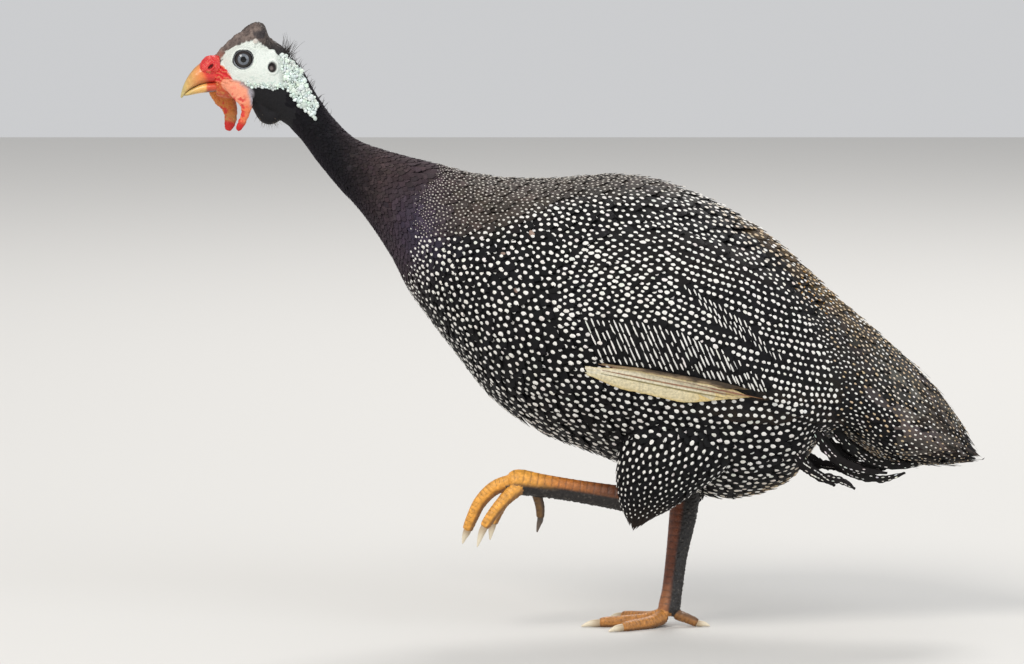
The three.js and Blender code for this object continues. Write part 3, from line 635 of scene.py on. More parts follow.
# Markings of the naked face, as outlines seen from the side
face = {
    "white": [(-221, 346.7), (-216.7, 354.3), (-205.2, 360.9), (-199.2, 361.4), (-194.9, 359.2),
              (-188.3, 355.4), (-184, 351.1), (-177.5, 350),
              (-172, 343.4), (-168.7, 334.7), (-164.4, 326), (-161.7, 321.6), (-163.3, 312.9),
              (-166.6, 316.2), (-172.6, 321.6),
              (-177.5, 328.2), (-180.7, 332.5), (-184, 333.1), (-189.4, 332), (-194.9, 333.6),
              (-199.2, 332.5), (-202.5, 333.6),
              (-206.9, 335.8), (-213.4, 336.3), (-217.8, 341.2), (-219.9, 344.5)],
    "red": [(-224, 351.1), (-219.4, 346.0), (-216.0, 342.4), (-212.6, 336.9), (-214.6, 334.2), (-222, 333.8),
            (-225.2, 339.1), (-224.6, 345.6)],
    "whiteSkin": (0.69, 0.73, 0.68),
    "blackSkin": (0.011, 0.0105, 0.0125),
    "redSkin": (0.62, 0.022, 0.028),
    "yellowSkin": (0.72, 0.42, 0.14),
    "crown": (0.035, 0.028, 0.024),
    "paleGreen": (0.42, 0.56, 0.5),
    "scaleGap": (0.16, 0.2, 0.18),
    "scale": (0.5, 0.6, 0.55),
    "jawRed": (0.6, 0.09, 0.03),
    "jawOrange": (0.66, 0.3, 0.08),
    # near black of the ear opening: painted shade in the hole
    "earHoleShade": (0.02, 0.016, 0.016),
    "earFloor": (0.16, 0.13, 0.12),
    "ear": {"x": -189, "z": 344.5, "wide": 2.6, "high": 2.9},
    "gape": {"x": -217.6, "z": 334.6, "wide": 2.4, "high": 1.8},
    "lidBlack": (0.013, 0.012, 0.014),
    "lidGrey": (0.3, 0.32, 0.34),
    "browBrown": (0.13, 0.1, 0.088),
    "flake": (0.66, 0.74, 0.69),
}


# The lie and colours of the coat
coat = {
    # how deep the coat is, ring by ring: the skin lies this far inside the body's outline
    "insetAt": [(0, 0.0), (5.5, 0.0), (7, 0.5), (8, 0.9), (10, 1.4), (12, 2.4), (14, 4.0), (17, 5.0),
                (24, 5.0), (26, 4.0), (28, 3.0)],
    # how far apart the feathers are, by x
    "spacingAt": [(-176, 1.25), (-158, 1.4), (-140, 1.75), (-125, 2.1), (-105, 2.8), (-80, 4.2), (-40, 6.0),
                  (20, 7.2), (240, 8.0)],
    "black": (0.0075, 0.0072, 0.0082),
    # purple brown of the lower neck and black of the upper one
    "velvet": (0.05, 0.035, 0.036),
    "throat": (0.009, 0.0085, 0.0105),
    # brown grey of the upper back, grey of the rump and tail
    "back": (0.06, 0.047, 0.04),
    "rump": (0.042, 0.037, 0.034),
    # the chest's edge, and the rump's middle
    "mauve": (0.055, 0.045, 0.085),
    "ochre": (0.13, 0.085, 0.04),
    # a feather's length and width for each millimetre between feathers, and the slant of those on the flanks
    "length": 3.1,
    "width": 1.75,
    "sweep": 0.28,
    # the ring where the neck's velvet ends, and the x that parts the front piece from the rear one
    "neckEnd": 12.6,
    "frontEnd": 30,
}
# lines in the side view: above the first the back is brown, ahead of the second the neck is velvet
backLine = [(-130, 262), (-94.9, 243), (-58.9, 250), (-18.6, 267), (18, 272), (70, 272), (110, 262),
            (140, 240), (200, 215)]
neckLine = np.array([(-84.5, 290), (-88, 278), (-99.7, 268), (-101.6, 242), (-105.8, 218), (-108, 190),
        (-104, 160)], float)


def readOff(rows, at):
    # values at some places, read off rows of place and value
    table = np.array(rows, float)
    return np.interp(at, table[:, 0], table[:, 1])


def insetAt(u):
    return readOff(coat["insetAt"], u)


def aboveBack(p):
    return p[..., 2] - readOff(backLine, p[..., 0])


def behindNeck(p):
    return p[..., 0] - np.interp(-p[..., 2], -neckLine[:, 1], neckLine[:, 0])


def coatColour(p):
    names = ("black", "velvet", "back", "rump", "mauve")
    black, velvet, back, rump, mauve = (np.array(coat[name]) for name in names)
    brown = ease(-3, 9, aboveBack(p))[..., None]
    neck = ease(16, -14, behindNeck(p))[..., None]
    upper = ease(-122, -152, p[..., 0] + (p[..., 2] - 285) * 0.25)[..., None]
    velvet = velvet * (1 - upper) + np.array(coat["throat"]) * upper
    rear = (ease(110, 160, p[..., 0]) * ease(150, 185, p[..., 2]))[..., None]
    colour = black * (1 - brown) + back * brown
    colour = colour * (1 - rear) + rump * rear
    colour = colour * (1 - neck) + velvet * neck
    tan = (ease(70, 110, p[..., 0]) * ease(175, 150, p[..., 0]) * ease(30, 8, np.abs(p[..., 1])))[..., None]
    colour = colour * (1 - 0.7 * tan) + np.array(coat["ochre"]) * 0.7 * tan
    tintZone = (np.exp(-((p[..., 0] + 103) / 16) ** 2 - ((p[..., 2] - 252) / 22) ** 2) * 0.6)[..., None]
    return colour * (1 - tintZone) + mauve * tintZone


def featherSpacing(p):
    return readOff(coat["spacingAt"], p[..., 0])


def onWing(p, share):
    # true over a wing's plate, out to this share of the way to its rim
    return (wingShare(p[:, 0], p[:, 2]) < share) & (np.abs(p[:, 1]) > 32)


def sweepAt(u, v):
    # feathers of the flanks sweep down towards the rear, those of the belly and back lie straight
    round2 = np.sin(2 * np.clip(np.abs(v), 0, np.pi / 2))
    return coat["sweep"] * round2 * np.sign(v) * ease(13, 17, u)


bodyU, bodyV = scatter(bodySurface, (5.9, 26.8), (-np.pi, np.pi), featherSpacing, relax=3, batches=10)
bodyP = bodySurface(bodyU, bodyV)
bareFace = polygonDistance(bodyP[:, 0], bodyP[:, 2], face["white"]) < 0.8
bareThroat = (bodyU < 7.0) & (bodyP[:, 2] < 322)
feathered = ~(onWing(bodyP, 0.86) | bareFace | bareThroat)
bodyU, bodyV, bodyP = bodyU[feathered], bodyV[feathered], bodyP[feathered]
order = np.argsort(bodyU)
bodyU, bodyV, bodyP = bodyU[order], bodyV[order], bodyP[order]


def coatPart(name, material, slot, chosen, **shape):
    u, v, p = bodyU[chosen], bodyV[chosen], bodyP[chosen]
    apart = featherSpacing(p)
    n = len(u)
    inset = insetAt(u)
    length = apart * coat["length"] * rng.uniform(0.9, 1.12, n)
    width = apart * coat["width"] * rng.uniform(0.92, 1.1, n)
    tints = coatColour(p) * np.exp(rng.normal(0, 0.16, (n, 1))) * np.exp(rng.normal(0, 0.03, (n, 3)))
    lie = sweepAt(u, v) + rng.normal(0, 0.09, n)
    tip = -0.12 * inset + rng.normal(0, 0.05, n) * apart / 6
    sheet = layFeathers(bodySurface, u, v, length, width, lie, -0.8 * inset, tip, tints, **bakePatch["body"],
            **shape)
    coatPiece(name, material, [sheet])


onNeck, atFront = bodyU < coat["neckEnd"], bodyP[:, 0] < coat["frontEnd"]
coatPart("coatNeck", neckVelvet, "plumage_neck", onNeck, rows=6, cols=5, camber=0.06)
coatPart("coatFront", coatBlack, "plumage_body", ~onNeck & atFront, rows=7, cols=5)
coatPart("coatRear", coatBlack, "plumage_body", ~onNeck & ~atFront, rows=7, cols=5)


# Wings
wingCoat = {
    "spacingAt": [(-20, 6.5), (60, 7.5), (160, 8.5)],
    "length": 20,
    "longer": 12,
    "widthShare": 0.52,
    # the dark flight feathers, row by row: first root, last root, length, width, how far their tips stand out
    "flightRows": [((40, 158), (132, 146), 48, 17, -0.5), ((30, 170), (126, 164), 52, 18, -0.2)],
    "inRow": 9,
    "rearEnd": 168,
    "flight": (0.011, 0.01, 0.01),
    "flightEdge": (0.035, 0.025, 0.018),
    "flightLie": -0.42,
}


def wingFeathers(surface, bake):
    # coverts scattered over the wing, then long flight feathers along its lower rear part
    sheets = []
    low, high = wingRim.min(0), wingRim.max(0)
    x, z = scatter(surface, (low[0], high[0]), (low[1], high[1]),
                   lambda p: readOff(wingCoat["spacingAt"], p[..., 0]),
                   keep=lambda p: wingShare(p[..., 0], p[..., 2]) < 0.9, relax=2, batches=6, batchSize=3000)
    inside = wingShare(x, z) < 0.93
    x, z = x[inside], z[inside]
    n = len(x)
    rearward = ease(0, 90, x)
    p = surface(x, z)
    tints = coatColour(p) * np.exp(rng.normal(0, 0.12, (n, 1)))
    tints[z > 225] = tints[z > 225] * 0.7 + np.array(coat["back"]) * 0.12
    length = wingCoat["length"] + wingCoat["longer"] * rearward
    lie = -0.16 - 0.3 * rearward - 0.25 * ease(180, 240, z) * ease(60, 140, x)
    sheets.append(layFeathers(surface, x, z, length, length * wingCoat["widthShare"],
            lie + rng.normal(0, 0.06, n),
                              -2.6, -0.3, tints, rows=8, cols=5, **bake))
    count = wingCoat["inRow"]
    for start, end, long, wide, lift in wingCoat["flightRows"]:
        t = np.linspace(0, 1, count)
        x, z = start[0] + (end[0] - start[0]) * t, start[1] + (end[1] - start[1]) * t
        long = np.minimum(long, wingCoat["rearEnd"] - x)
        tints = paint(count, wingCoat["flight"], 0.12)
        edges = paint(count, wingCoat["flightEdge"], 0.1)
        sheets.append(layFeathers(surface, x, z, long, wide, wingCoat["flightLie"], -1.6, lift, tints,
                rows=12, cols=7,
                                  point=0.7, edgeTint=edges, **bake))
    return sheets


flanks = {"Left": flankLeft, "Right": flankRight}
for word, surface in flanks.items():
    coatPiece("coatWing" + word, coatBlack, wingFeathers(surface, bakePatch["wing" + word]))


# Thighs
thighCoat = {
    # all by height: spacing, length, and how deep the roots and the tips sit
    "spacingAt": [(70, 4.2), (130, 5.8)],
    "lengthAt": [(70, 10), (130, 20)],
    "rootAt": [(70, -1.0), (130, -4.0)],
    "tipAt": [(70, -0.2), (130, -0.6)],
    "low": (0.03, 0.02, 0.015),
}
thighs = {"Left": thighLeft, "Right": thighRight}


def thighFeathers(path, word):
    surface = limbSurface(path)
    u, v = scatter(surface, (0.35, 3.7), (-np.pi, np.pi),
                   lambda p: readOff(thighCoat["spacingAt"], p[..., 2]),
                   relax=2, batches=6, batchSize=3000)
    order = np.argsort(u)
    u, v = u[order], v[order]
    p = surface(u, v)
    n = len(u)
    length, root, tip = (readOff(thighCoat[key], p[:, 2]) for key in ("lengthAt", "rootAt", "tipAt"))
    tints = blendTo(paint(n, coat["black"], 0.15), thighCoat["low"], ease(90, 66, p[:, 2]))
    sheet = layFeathers(surface, u, v, length, length * 0.5, rng.normal(0, 0.1, n), root, tip, tints, rows=6,
            cols=5,
                        **bakePatch["thigh" + word])
    coatPiece("coatThigh" + word, coatBlack, [sheet])


for word, path in thighs.items():
    thighFeathers(path, word)


# Tail
tail = {
    # rows of long feathers: ring of the body, feathers in the row, angle to either side of the back
    "rows": [(23.2, 16, 1.9), (24.2, 18, 2.1), (25.0, 18, 2.0)],
    "length": (50, 66),
    "width": 18,
    "grey": (0.06, 0.054, 0.05),
    "edge": (0.12, 0.1, 0.085),
    # thin tips: how many, their length and width, their brown
    "tips": 150,
    "tipLength": (14, 30),
    "tipWidth": (1.6, 3.6),
    "tipBrown": (0.028, 0.022, 0.018),
}


def tailFeathers():
    u = np.concatenate([np.full(count, ring) for ring, count, _ in tail["rows"]])
    v = np.concatenate([np.linspace(-turn, turn, count) for _, count, turn in tail["rows"]])
    n = len(u)
    v = v + rng.normal(0, 0.03, n)
    tints = paint(n, tail["grey"], 0.2)
    length, lie = rng.uniform(*tail["length"], n), rng.normal(0, 0.05, n)
    edges = paint(n, tail["edge"], 0.2)
    sheet = layFeathers(bodySurface, u, v, length, tail["width"], lie, -3.0, -0.4, tints, rows=14, cols=7,
                        point=0.8, ragged=0.05, edgeTint=edges, **bakePatch["body"])
    coatPiece("coatTail", coatBlack, [sheet])


tailFeathers()


def tailFringe():
    # thin ragged tips all round the end of the tail
    n = tail["tips"]
    u, v = rng.uniform(25.0, 27.5, n), rng.uniform(-np.pi, np.pi, n)
    tints = paint(n, tail["tipBrown"], 0.35)
    length = rng.uniform(*tail["tipLength"], n) * readOff([(25, 1), (27.5, 0.62)], u)
    width = rng.uniform(*tail["tipWidth"], n)
    lie, lift = rng.normal(0, 0.16, n), rng.uniform(-0.8, 1.4, n)
    sheet = layFeathers(bodySurface, u, v, length, width, lie, -1.6, lift, tints, rows=8, cols=3, point=0.3,
                        **bakePatch["body"])
    coatPiece("coatTailFringe", coatBlack, [sheet])


tailFringe()

# Spots, set on the feathers laid so far by rays from outside
coatPoints, coatFaces = joinMeshes([(points, faces.tolist()) for points, faces in coatSheets])
coatTree = BVHTree.FromPolygons(coatPoints.tolist(), coatFaces)


def seatOn(surface, u, v, reach=9.0, highest=2.0):
    # where the coat's outer side lies under each point, with its normal and the lie there
    outer, inner = surface(u, v, reach), surface(u, v, -reach)
    mu, mv = stepLengths(surface, u, v)
    out = unit(outOf(surface, u, v))
    spots, normals, ok = np.zeros((len(u), 3)), np.zeros((len(u), 3)), np.zeros(len(u), bool)
    for i, (a, b) in enumerate(zip(outer, inner)):
        way = b - a
        hit, normal, _, _ = coatTree.ray_cast(Vector(a), Vector(way).normalized(), float(np.linalg.norm(way)))
        if hit is not None:
            spots[i], normals[i] = hit, normal
            ok[i] = (np.array(hit) - (a + b) / 2) @ out[i] < highest
    flip = (normals * out).sum(-1) < 0
    normals[flip] *= -1
    return spots, unit(normals * 0.6 + out * 0.4, 1e-6), mu, mv, ok


def spotDiscs(centres, normals, lie, long, wide, sides=9, dome=0.16, sink=0.12):
    # small domes: a point on top, a ring round it and a ring sunk into the feather
    lie = unit(lie - normals * (lie * normals).sum(-1, keepdims=True), 1e-6)
    across = np.cross(normals, lie)
    a = np.linspace(0, 2 * np.pi, sides, endpoint=False)
    n = len(centres)
    wobble = 1 + rng.normal(0, 0.07, (n, sides))
    ring = (centres[:, None] + lie[:, None] * (np.cos(a) * wobble * long[:, None] / 2)[..., None]
            + across[:, None] * (np.sin(a) * wobble * wide[:, None] / 2)[..., None])
    inner = centres[:, None] * 0.35 + ring * 0.65 + normals[:, None] * dome
    ring = ring - normals[:, None] * sink
    top = centres[:, None] + normals[:, None] * (dome + 0.08)
    points = np.concatenate([top, inner, ring], 1)
    k = np.arange(sides)
    k2 = (k + 1) % sides
    fan = np.stack([np.zeros(sides, int), 1 + k, 1 + k2], -1)
    skirt = np.stack([1 + k, 1 + sides + k, 1 + sides + k2, 1 + k2], -1)
    step = 2 * sides + 1
    base = (np.arange(n) * step)[:, None, None]
    faces = (base + fan).reshape(-1, 3).tolist() + (base + skirt).reshape(-1, 4).tolist()
    return points.reshape(-1, 3), faces, step


spotLook = {
    "white": (0.8, 0.78, 0.74),
    "tan": (0.5, 0.33, 0.14),
    "spread": 0.08,
    # how far apart the dots are: on the flanks by height, on the back by x, and at the rear
    "flankPitch": [(100, 5.0), (150, 4.7), (230, 4.3)],
    "backPitch": [(-100, 2.3), (-60, 2.8), (0, 3.1), (100, 3.6)],
    "rearPitch": 3.3,
    # a dot's width as a share of that
    "flankShare": 0.57,
    "backShare": 0.44,
    "rearShare": 0.46,
    "thighPitch": [(74, 3.4), (110, 5.0)],
    "thighLength": [(76, 1.6), (120, 3.6)],
    # the least gap between two dots' middles, as a share of both widths
    "apart": 0.68,
}
spotSheets = {}
laidSpots = []


def clearOfLaid(spots, wide, apart):
    # false where a spot would run into one laid earlier
    centres, widths = (np.concatenate(part) for part in zip(*laidSpots))
    tree = treeOf(centres)
    near = [tree.find(spot)[1:] for spot in spots.tolist()]
    return np.array([gap > apart * (own + widths[i]) for (i, gap), own in zip(near, wide)])


def addSpots(name, surface, u, v, long, wide, turn=0.0, colour=spotLook["white"], apart=0.0):
    spots, normals, mu, mv, ok = seatOn(surface, u, v)
    fullWide = np.broadcast_to(wide, len(u))
    if apart:
        ok = ok & clearOfLaid(spots, fullWide, apart)
    laidSpots.append((spots[ok], fullWide[ok]))
    turn = np.broadcast_to(turn, len(u))[:, None]
    lie = unit(mu) * np.cos(turn) + unit(mv) * np.sin(turn)
    long, wide = np.broadcast_to(long, len(u))[ok], np.broadcast_to(wide, len(u))[ok]
    points, faces, step = spotDiscs(spots[ok], normals[ok], lie[ok], long, wide)
    shade = paint(int(ok.sum()), (1, 1, 1), spotLook["spread"], 0.015)
    tint = np.repeat(shade * np.broadcast_to(colour, (len(u), 3))[ok], step, 0)
    spotSheets.setdefault(name, []).append((points, faces, np.clip(tint, 0, 1)))


def rearOf(p):
    return ease(90, 140, p[..., 0] + 0.5 * (p[..., 2] - 150)) * ease(-8, 18, p[..., 0] - 128)


def byZone(p, flank, back, rear):
    # one value for the flanks, one for the back and one for the rear, with soft edges between
    onBack, atRear = ease(-6, 3, aboveBack(p)), rearOf(p)
    return (flank * (1 - onBack) + back * onBack) * (1 - atRear) + rear * atRear


def spotPitch(p):
    flank, back = readOff(spotLook["flankPitch"], p[..., 2]), readOff(spotLook["backPitch"], p[..., 0])
    return byZone(p, flank, back, spotLook["rearPitch"]) * (1 - 0.4 * ease(14, 0, behindNeck(p)))


def bodySpots():
    u, v = scatter(bodySurface, (10.4, 27.4), (-np.pi, np.pi), spotPitch, relax=10, batches=26,
                   batchSize=9000,
                   closeness=0.76, keep=lambda p: behindNeck(p) > -3)
    p = bodySurface(u, v)
    good = (behindNeck(p) > rng.uniform(-3, 5, len(u))) & ~onWing(p, 0.97)
    u, v, p = u[good], v[good], p[good]
    n = len(u)
    onBack, atRear = ease(-6, 3, aboveBack(p)), rearOf(p)
    share = byZone(p, spotLook["flankShare"], spotLook["backShare"], spotLook["rearShare"])
    wide = spotPitch(p) * share * np.exp(rng.normal(0, 0.07, n)) * (1 - 0.35 * ease(185, 235, p[:, 0]))
    dull = onBack[:, None]
    tone = np.array(spotLook["white"]) * (1 - 0.35 * dull) + np.array((-0.02, -0.04, -0.06)) * dull
    tan = (ease(60, 110, p[:, 0]) * ease(45, 15, np.abs(p[:, 1])) * (rng.random(n) < 0.6)
           + ease(120, 160, p[:, 0]) * (rng.random(n) < 0.25))
    tone = blendTo(tone, spotLook["tan"], np.clip(tan, 0, 1) * 0.75)
    for word, part in (("Front", p[:, 0] < 0), ("Rear", p[:, 0] >= 0)):
        long = wide[part] * (1.28 + 0.4 * atRear[part] * rng.random(part.sum()))
        addSpots("spots" + word, bodySurface, u[part], v[part], long,
                 wide[part] * (0.97 - 0.1 * atRear[part]),
                 sweepAt(u[part], v[part]), tone[part])


def thighSpots(path, word):
    surface = limbSurface(path)
    u, v = scatter(surface, (0.3, 3.95), (-np.pi, np.pi),
                   lambda p: readOff(spotLook["thighPitch"], p[..., 2]),
                   relax=8, batches=12, batchSize=3000, closeness=0.76)
    high = surface(u, v)[:, 2] > 73
    u, v = u[high], v[high]
    long = readOff(spotLook["thighLength"], surface(u, v)[:, 2])
    addSpots("spotsThigh" + word, surface, u, v, long, long * 0.66, 0.0, apart=spotLook["apart"])


bodySpots()
for word, path in thighs.items():
    thighSpots(path, word)


wingDots = {
    # rows that slope down to the rear: where they start, gap between dots and between rows
    "middle": (70, 195),
    "gap": 4.1,
    "rowGap": 3.65,
    "sizeAt": [(-20, 2.45), (40, 2.5), (150, 2.55)],
    # every third row is of smaller dots
    "smallRow": 0.84,
    "largeRow": 1.04,
}
wingBars = {
    # the field of fine bars, from left to right, with its upper and lower edge
    "topAt": [(14, 198), (22, 197), (40, 195), (61, 189), (80, 180), (95, 171.5), (108, 160)],
    "bottomAt": [(14, 172), (22, 170), (40, 168), (61, 164), (80, 160), (95, 156), (108, 153)],
    "apart": 3.4,
    "width": 1.15,
    "lean": 0.42,
    "slant": math.radians(-66),
    # shorter dashes above it: first and last, steps between, rows
    "upper": (62, 104, 3.0),
    "upperRows": 3,
    "clear": 3.4,
}
barsFirst, barsLast = wingBars["topAt"][0][0], wingBars["topAt"][-1][0]


def barDashes():
    # rows of x, z, length and width
    dashes = []
    for start in np.arange(barsFirst - 12, barsLast, wingBars["apart"]):
        x = start
        high = readOff(wingBars["topAt"], start) + rng.normal(0, 0.6)
        low = readOff(wingBars["bottomAt"], start + 8)
        long = rng.uniform(2.5, 8.5)
        while high > low + 2:
            long = min(long, high - low)
            dashes.append((x + long * wingBars["lean"] / 2, high - long / 2, long * 1.1, wingBars["width"]))
            x, high, long = x + (long + 0.5) * wingBars["lean"], high - long - 0.5, rng.uniform(6.0, 9.0)
    upperStart = wingBars["upper"][0]
    for start in np.arange(*wingBars["upper"]):
        for row in range(wingBars["upperRows"]):
            x = start + row * 9 + rng.normal(0, 0.3)
            dashes.append((x, 216 - (start - upperStart) * 0.62 - row * 9.5 + rng.normal(0, 0.4), 5.0, 1.05))
    dashes = np.array(dashes)
    return dashes[wingShare(dashes[:, 0], dashes[:, 1]) < 0.95]


def wingSpots(surface, name):
    # rows of dots that slope down to the rear, with fine bars on the flight feathers
    slope = wing["rowSlope"]
    run, fall = np.array([math.cos(slope), math.sin(slope)]), np.array([math.sin(slope), -math.cos(slope)])
    places, rowOf = [], []
    for i in range(-48, 49):
        shift = rng.uniform(0, wingDots["gap"])
        for j in range(-60, 61):
            alongRow = run * (j * wingDots["gap"] + shift)
            places.append(np.array(wingDots["middle"]) + alongRow + fall * i * wingDots["rowGap"])
            rowOf.append(i)
    (x, z), rowOf = np.array(places).T, np.array(rowOf)
    bend = fbm(np.stack([x, z, 0 * x], -1), 46.0, 160.0, 2)
    arch = 0.0016 * (x - wingDots["middle"][0]) ** 2
    x, z = x + rng.normal(0, 0.42, len(x)), z + rng.normal(0, 0.3, len(z)) + 3.0 * bend + arch
    top, bottom = readOff(wingBars["topAt"], x), readOff(wingBars["bottomAt"], x)
    barred = (x > barsFirst) & (x < barsLast) & (z < top) & (z > bottom - 4)
    inside = (wingShare(x, z) < 0.965) & ~barred
    x, z, rowOf = x[inside], z[inside], rowOf[inside]
    front = ease(90, 30, x)
    big = (readOff(wingDots["sizeAt"], x) * np.exp(rng.normal(0, 0.1, len(x)))
           * np.where(rowOf % 3 == 0, wingDots["smallRow"], wingDots["largeRow"]))
    dashes = barDashes()
    tree = treeOf(np.column_stack([dashes[:, :2], np.zeros(len(dashes))]))
    clear = np.array([tree.find((a, b, 0))[2] > wingBars["clear"] for a, b in zip(x.tolist(), z.tolist())])
    x, z, front, big = (a[clear] for a in (x, z, front, big))
    long = big * (1.22 + 0.3 * front * rng.random(len(x)))
    addSpots(name, surface, x, z, long, big * 0.94, slope + 0.25 * front, apart=spotLook["apart"])
    x, z, long, wide = dashes.T
    addSpots(name, surface, x, z, long * 1.06, wide, wingBars["slant"])


# Worn patches on the left shoulder: x, z, length, width, turn. Ochre marks on the rump lie in slanting rows.
oddMarks = {
    "worn": [(-29.6, 246.0, 7.0, 3.4, -1.2), (-46.7, 235.0, 4.0, 2.2, -0.3), (-39.3, 213.5, 8.5, 2.4, -0.7)],
    "wornColour": (0.3, 0.21, 0.17),
    "ochreColour": (0.5, 0.27, 0.08),
    "ochreLength": 2.7,
    "ochreWidth": 0.75,
    "ochreColumns": 7,
    "ochreRows": 5,
}
for word, surface in flanks.items():
    wingSpots(surface, "spotsWing" + word)
x, z, long, wide, turn = np.array(oddMarks["worn"]).T
addSpots("spotsLoosePatches", flankLeft, x, z, long, wide, turn, oddMarks["wornColour"])
col, row = np.meshgrid(np.arange(oddMarks["ochreColumns"]), np.arange(oddMarks["ochreRows"]))
col, row = col.ravel(), row.ravel()
x, z = 130.5 + col * 3.0 + row * 1.7, 217 - col * 2.5 + row * 3.0 - 6
for surface in flanks.values():
    addSpots("spotsOchre", surface, x, z, oddMarks["ochreLength"], oddMarks["ochreWidth"],
             np.where(col % 2, 0.9, -0.6),
             oddMarks["ochreColour"])


def bakeSide(p):
    # the bake map of small marks: the side view, with the bird's right side above its left
    return np.stack([p[:, 0] / 600 + 0.5, p[:, 2] / 420 * 0.45 + (p[:, 1] > 0) * 0.5], -1)


for name, sheets in spotSheets.items():
    points, faces = joinMeshes([sheet[:2] for sheet in sheets])
    tints = np.concatenate([sheet[2] for sheet in sheets])
    newPiece(name, place(points), faces, [spotWhite], tints, {"OFBake": bakeSide(points)})
    print(name, len(points), "points")


# Skin: head, neck, body, wattles and legs in one object under the coat
def tube(surface, start, end, rows, cols, grow=0.0):
    # the surface from one ring to another, closed at both ends
    u = np.linspace(start, end, rows)
    v = np.linspace(0, 2 * np.pi, cols, endpoint=False)
    u2, v2 = np.meshgrid(u, v, indexing="ij")
    grow = grow(u2) if callable(grow) else grow
    ring = surface(u2, v2, grow)
    points = np.vstack([ring.reshape(-1, 3), ring[0].mean(0), ring[-1].mean(0)])
    k = np.arange(cols)
    k2 = (k + 1) % cols
    n = rows * cols
    lastRing = n - cols
    caps = [[n, b, a] for a, b in zip(k, k2)] + [[n + 1, lastRing + a, lastRing + b] for a, b in zip(k, k2)]
    return points, gridFaces(rows, cols, True).tolist() + caps


def fuse(parts, voxel, smooth=3):
    # one closed skin round several overlapping shapes; returns points, quads and normals
    points, faces = joinMeshes(parts)
    mesh = bpy.data.meshes.new("fuse")
    mesh.from_pydata(points.tolist(), [], faces)
    obj = bpy.data.objects.new("fuse", mesh)
    bpy.context.scene.collection.objects.link(obj)
    modifier = obj.modifiers.new("fuse", "REMESH")
    modifier.mode, modifier.voxel_size = "VOXEL", voxel
    made = bpy.data.meshes.new_from_object(obj.evaluated_get(bpy.context.evaluated_depsgraph_get()))
    bpy.data.objects.remove(obj)
    bpy.data.meshes.remove(mesh)
    p = np.empty(len(made.vertices) * 3)
    made.vertices.foreach_get("co", p)
    p = p.reshape(-1, 3)
    edges = np.empty(len(made.edges) * 2, np.int64)
    made.edges.foreach_get("vertices", edges)
    edges = edges.reshape(-1, 2)
    faces = [list(f.vertices) for f in made.polygons]
    degree = np.bincount(edges.ravel(), minlength=len(p))[:, None]
    a, b = edges.T
    for _ in range(smooth):
        total = np.stack([np.bincount(a, p[b, k], len(p)) + np.bincount(b, p[a, k], len(p))
                for k in range(3)], -1)
        p = p * 0.4 + 0.6 * total / degree
    made.vertices.foreach_set("co", p.ravel())
    made.update()
    normals = np.array([v.normal[:] for v in made.vertices])
    bpy.data.meshes.remove(made)
    return p, faces, normals


# Paths of the wattles and the throat, as the legs' are written, with the wattles' colours from root to tip
wattles = {
    "Left": {
        "path": [(-215.4, -8.6, 334.2, 3.2, 1.5), (-210.9, -11.0, 331.0, 4.8, 2.0),
                 (-206.9, -12.2, 327.4, 5.5, 2.0),
                 (-204.9, -12.6, 322.6, 4.3, 1.8), (-204.9, -12.6, 318.2, 2.9, 1.7),
                 (-206.3, -12.4, 313.8, 2.4, 1.6),
                 (-208.1, -12.0, 309.8, 2.3, 1.5), (-210.2, -11.6, 306.1, 1.6, 1.1)],
        "side": -1,
        "inner": 7.4,
        "base": (0.8, 0.3, 0.18),
        "low": (0.74, 0.17, 0.06),
        "tip": (0.55, 0.02, 0.018),
        "rim": (0.28, 0.34, 0.4),
        "tipAt": 5.2,
    },
    "Right": {
        "path": [(-223.6, 5.6, 330.6, 3.6, 1.5), (-217.6, 10.0, 325.6, 5.8, 2.0),
                 (-213.2, 11.8, 320.2, 5.0, 1.9),
                 (-211.8, 12.6, 315.0, 4.2, 1.7), (-212.0, 12.4, 310.4, 3.7, 1.7),
                 (-212.9, 12.0, 306.9, 2.9, 1.5),
                 (-213.8, 11.8, 304.3, 1.5, 1.0)],
        "side": 1,
        "inner": 3.5,
        "base": (0.66, 0.22, 0.05),
        "low": (0.5, 0.24, 0.08),
        "tip": (0.52, 0.025, 0.02),
        "rim": (0.62, 0.2, 0.1),
        "tipAt": 3.6,
    },
}
throat = [(-202.2, 0, 327.0, 3.4, 6.5), (-196.0, 0, 321.8, 4.8, 8.6), (-190.2, 0, 315.2, 6.2, 8.2),
          (-184.8, 0, 318.2, 6.2, 8.6),
          (-178.5, 0, 323.0, 4.6, 7.8)]
throatWeb = [(-204, 0, 331, 4.6, 8.0), (-196, 0, 327, 7.0, 9.2), (-186, 0, 324.5, 8.0, 9.2),
             (-174, 0, 322.5, 6.0, 8)]
eye = {"x": -206.4, "z": 349.4, "y": 8.9, "radius": 6.6}


def nearPath(points, path):
    # parameter along a limb's line and distance from it
    line = np.array(path, float)[:, :3]
    best, at = np.full(len(points), 1e9), np.zeros(len(points))
    for i in range(len(line) - 1):
        a, b = line[i], line[i + 1]
        t = np.clip(((points - a) @ (b - a)) / ((b - a) @ (b - a)), 0, 1)
        d = np.linalg.norm(points - a - t[:, None] * (b - a), axis=1)
        closer = d < best
        best[closer], at[closer] = d[closer], (i + t)[closer]
    return at, best


def ringShare(x, z, mark):
    # 0 in the middle of an oval mark, 1 at its rim
    return np.hypot((x - mark["x"]) / mark["wide"], (z - mark["z"]) / mark["high"])


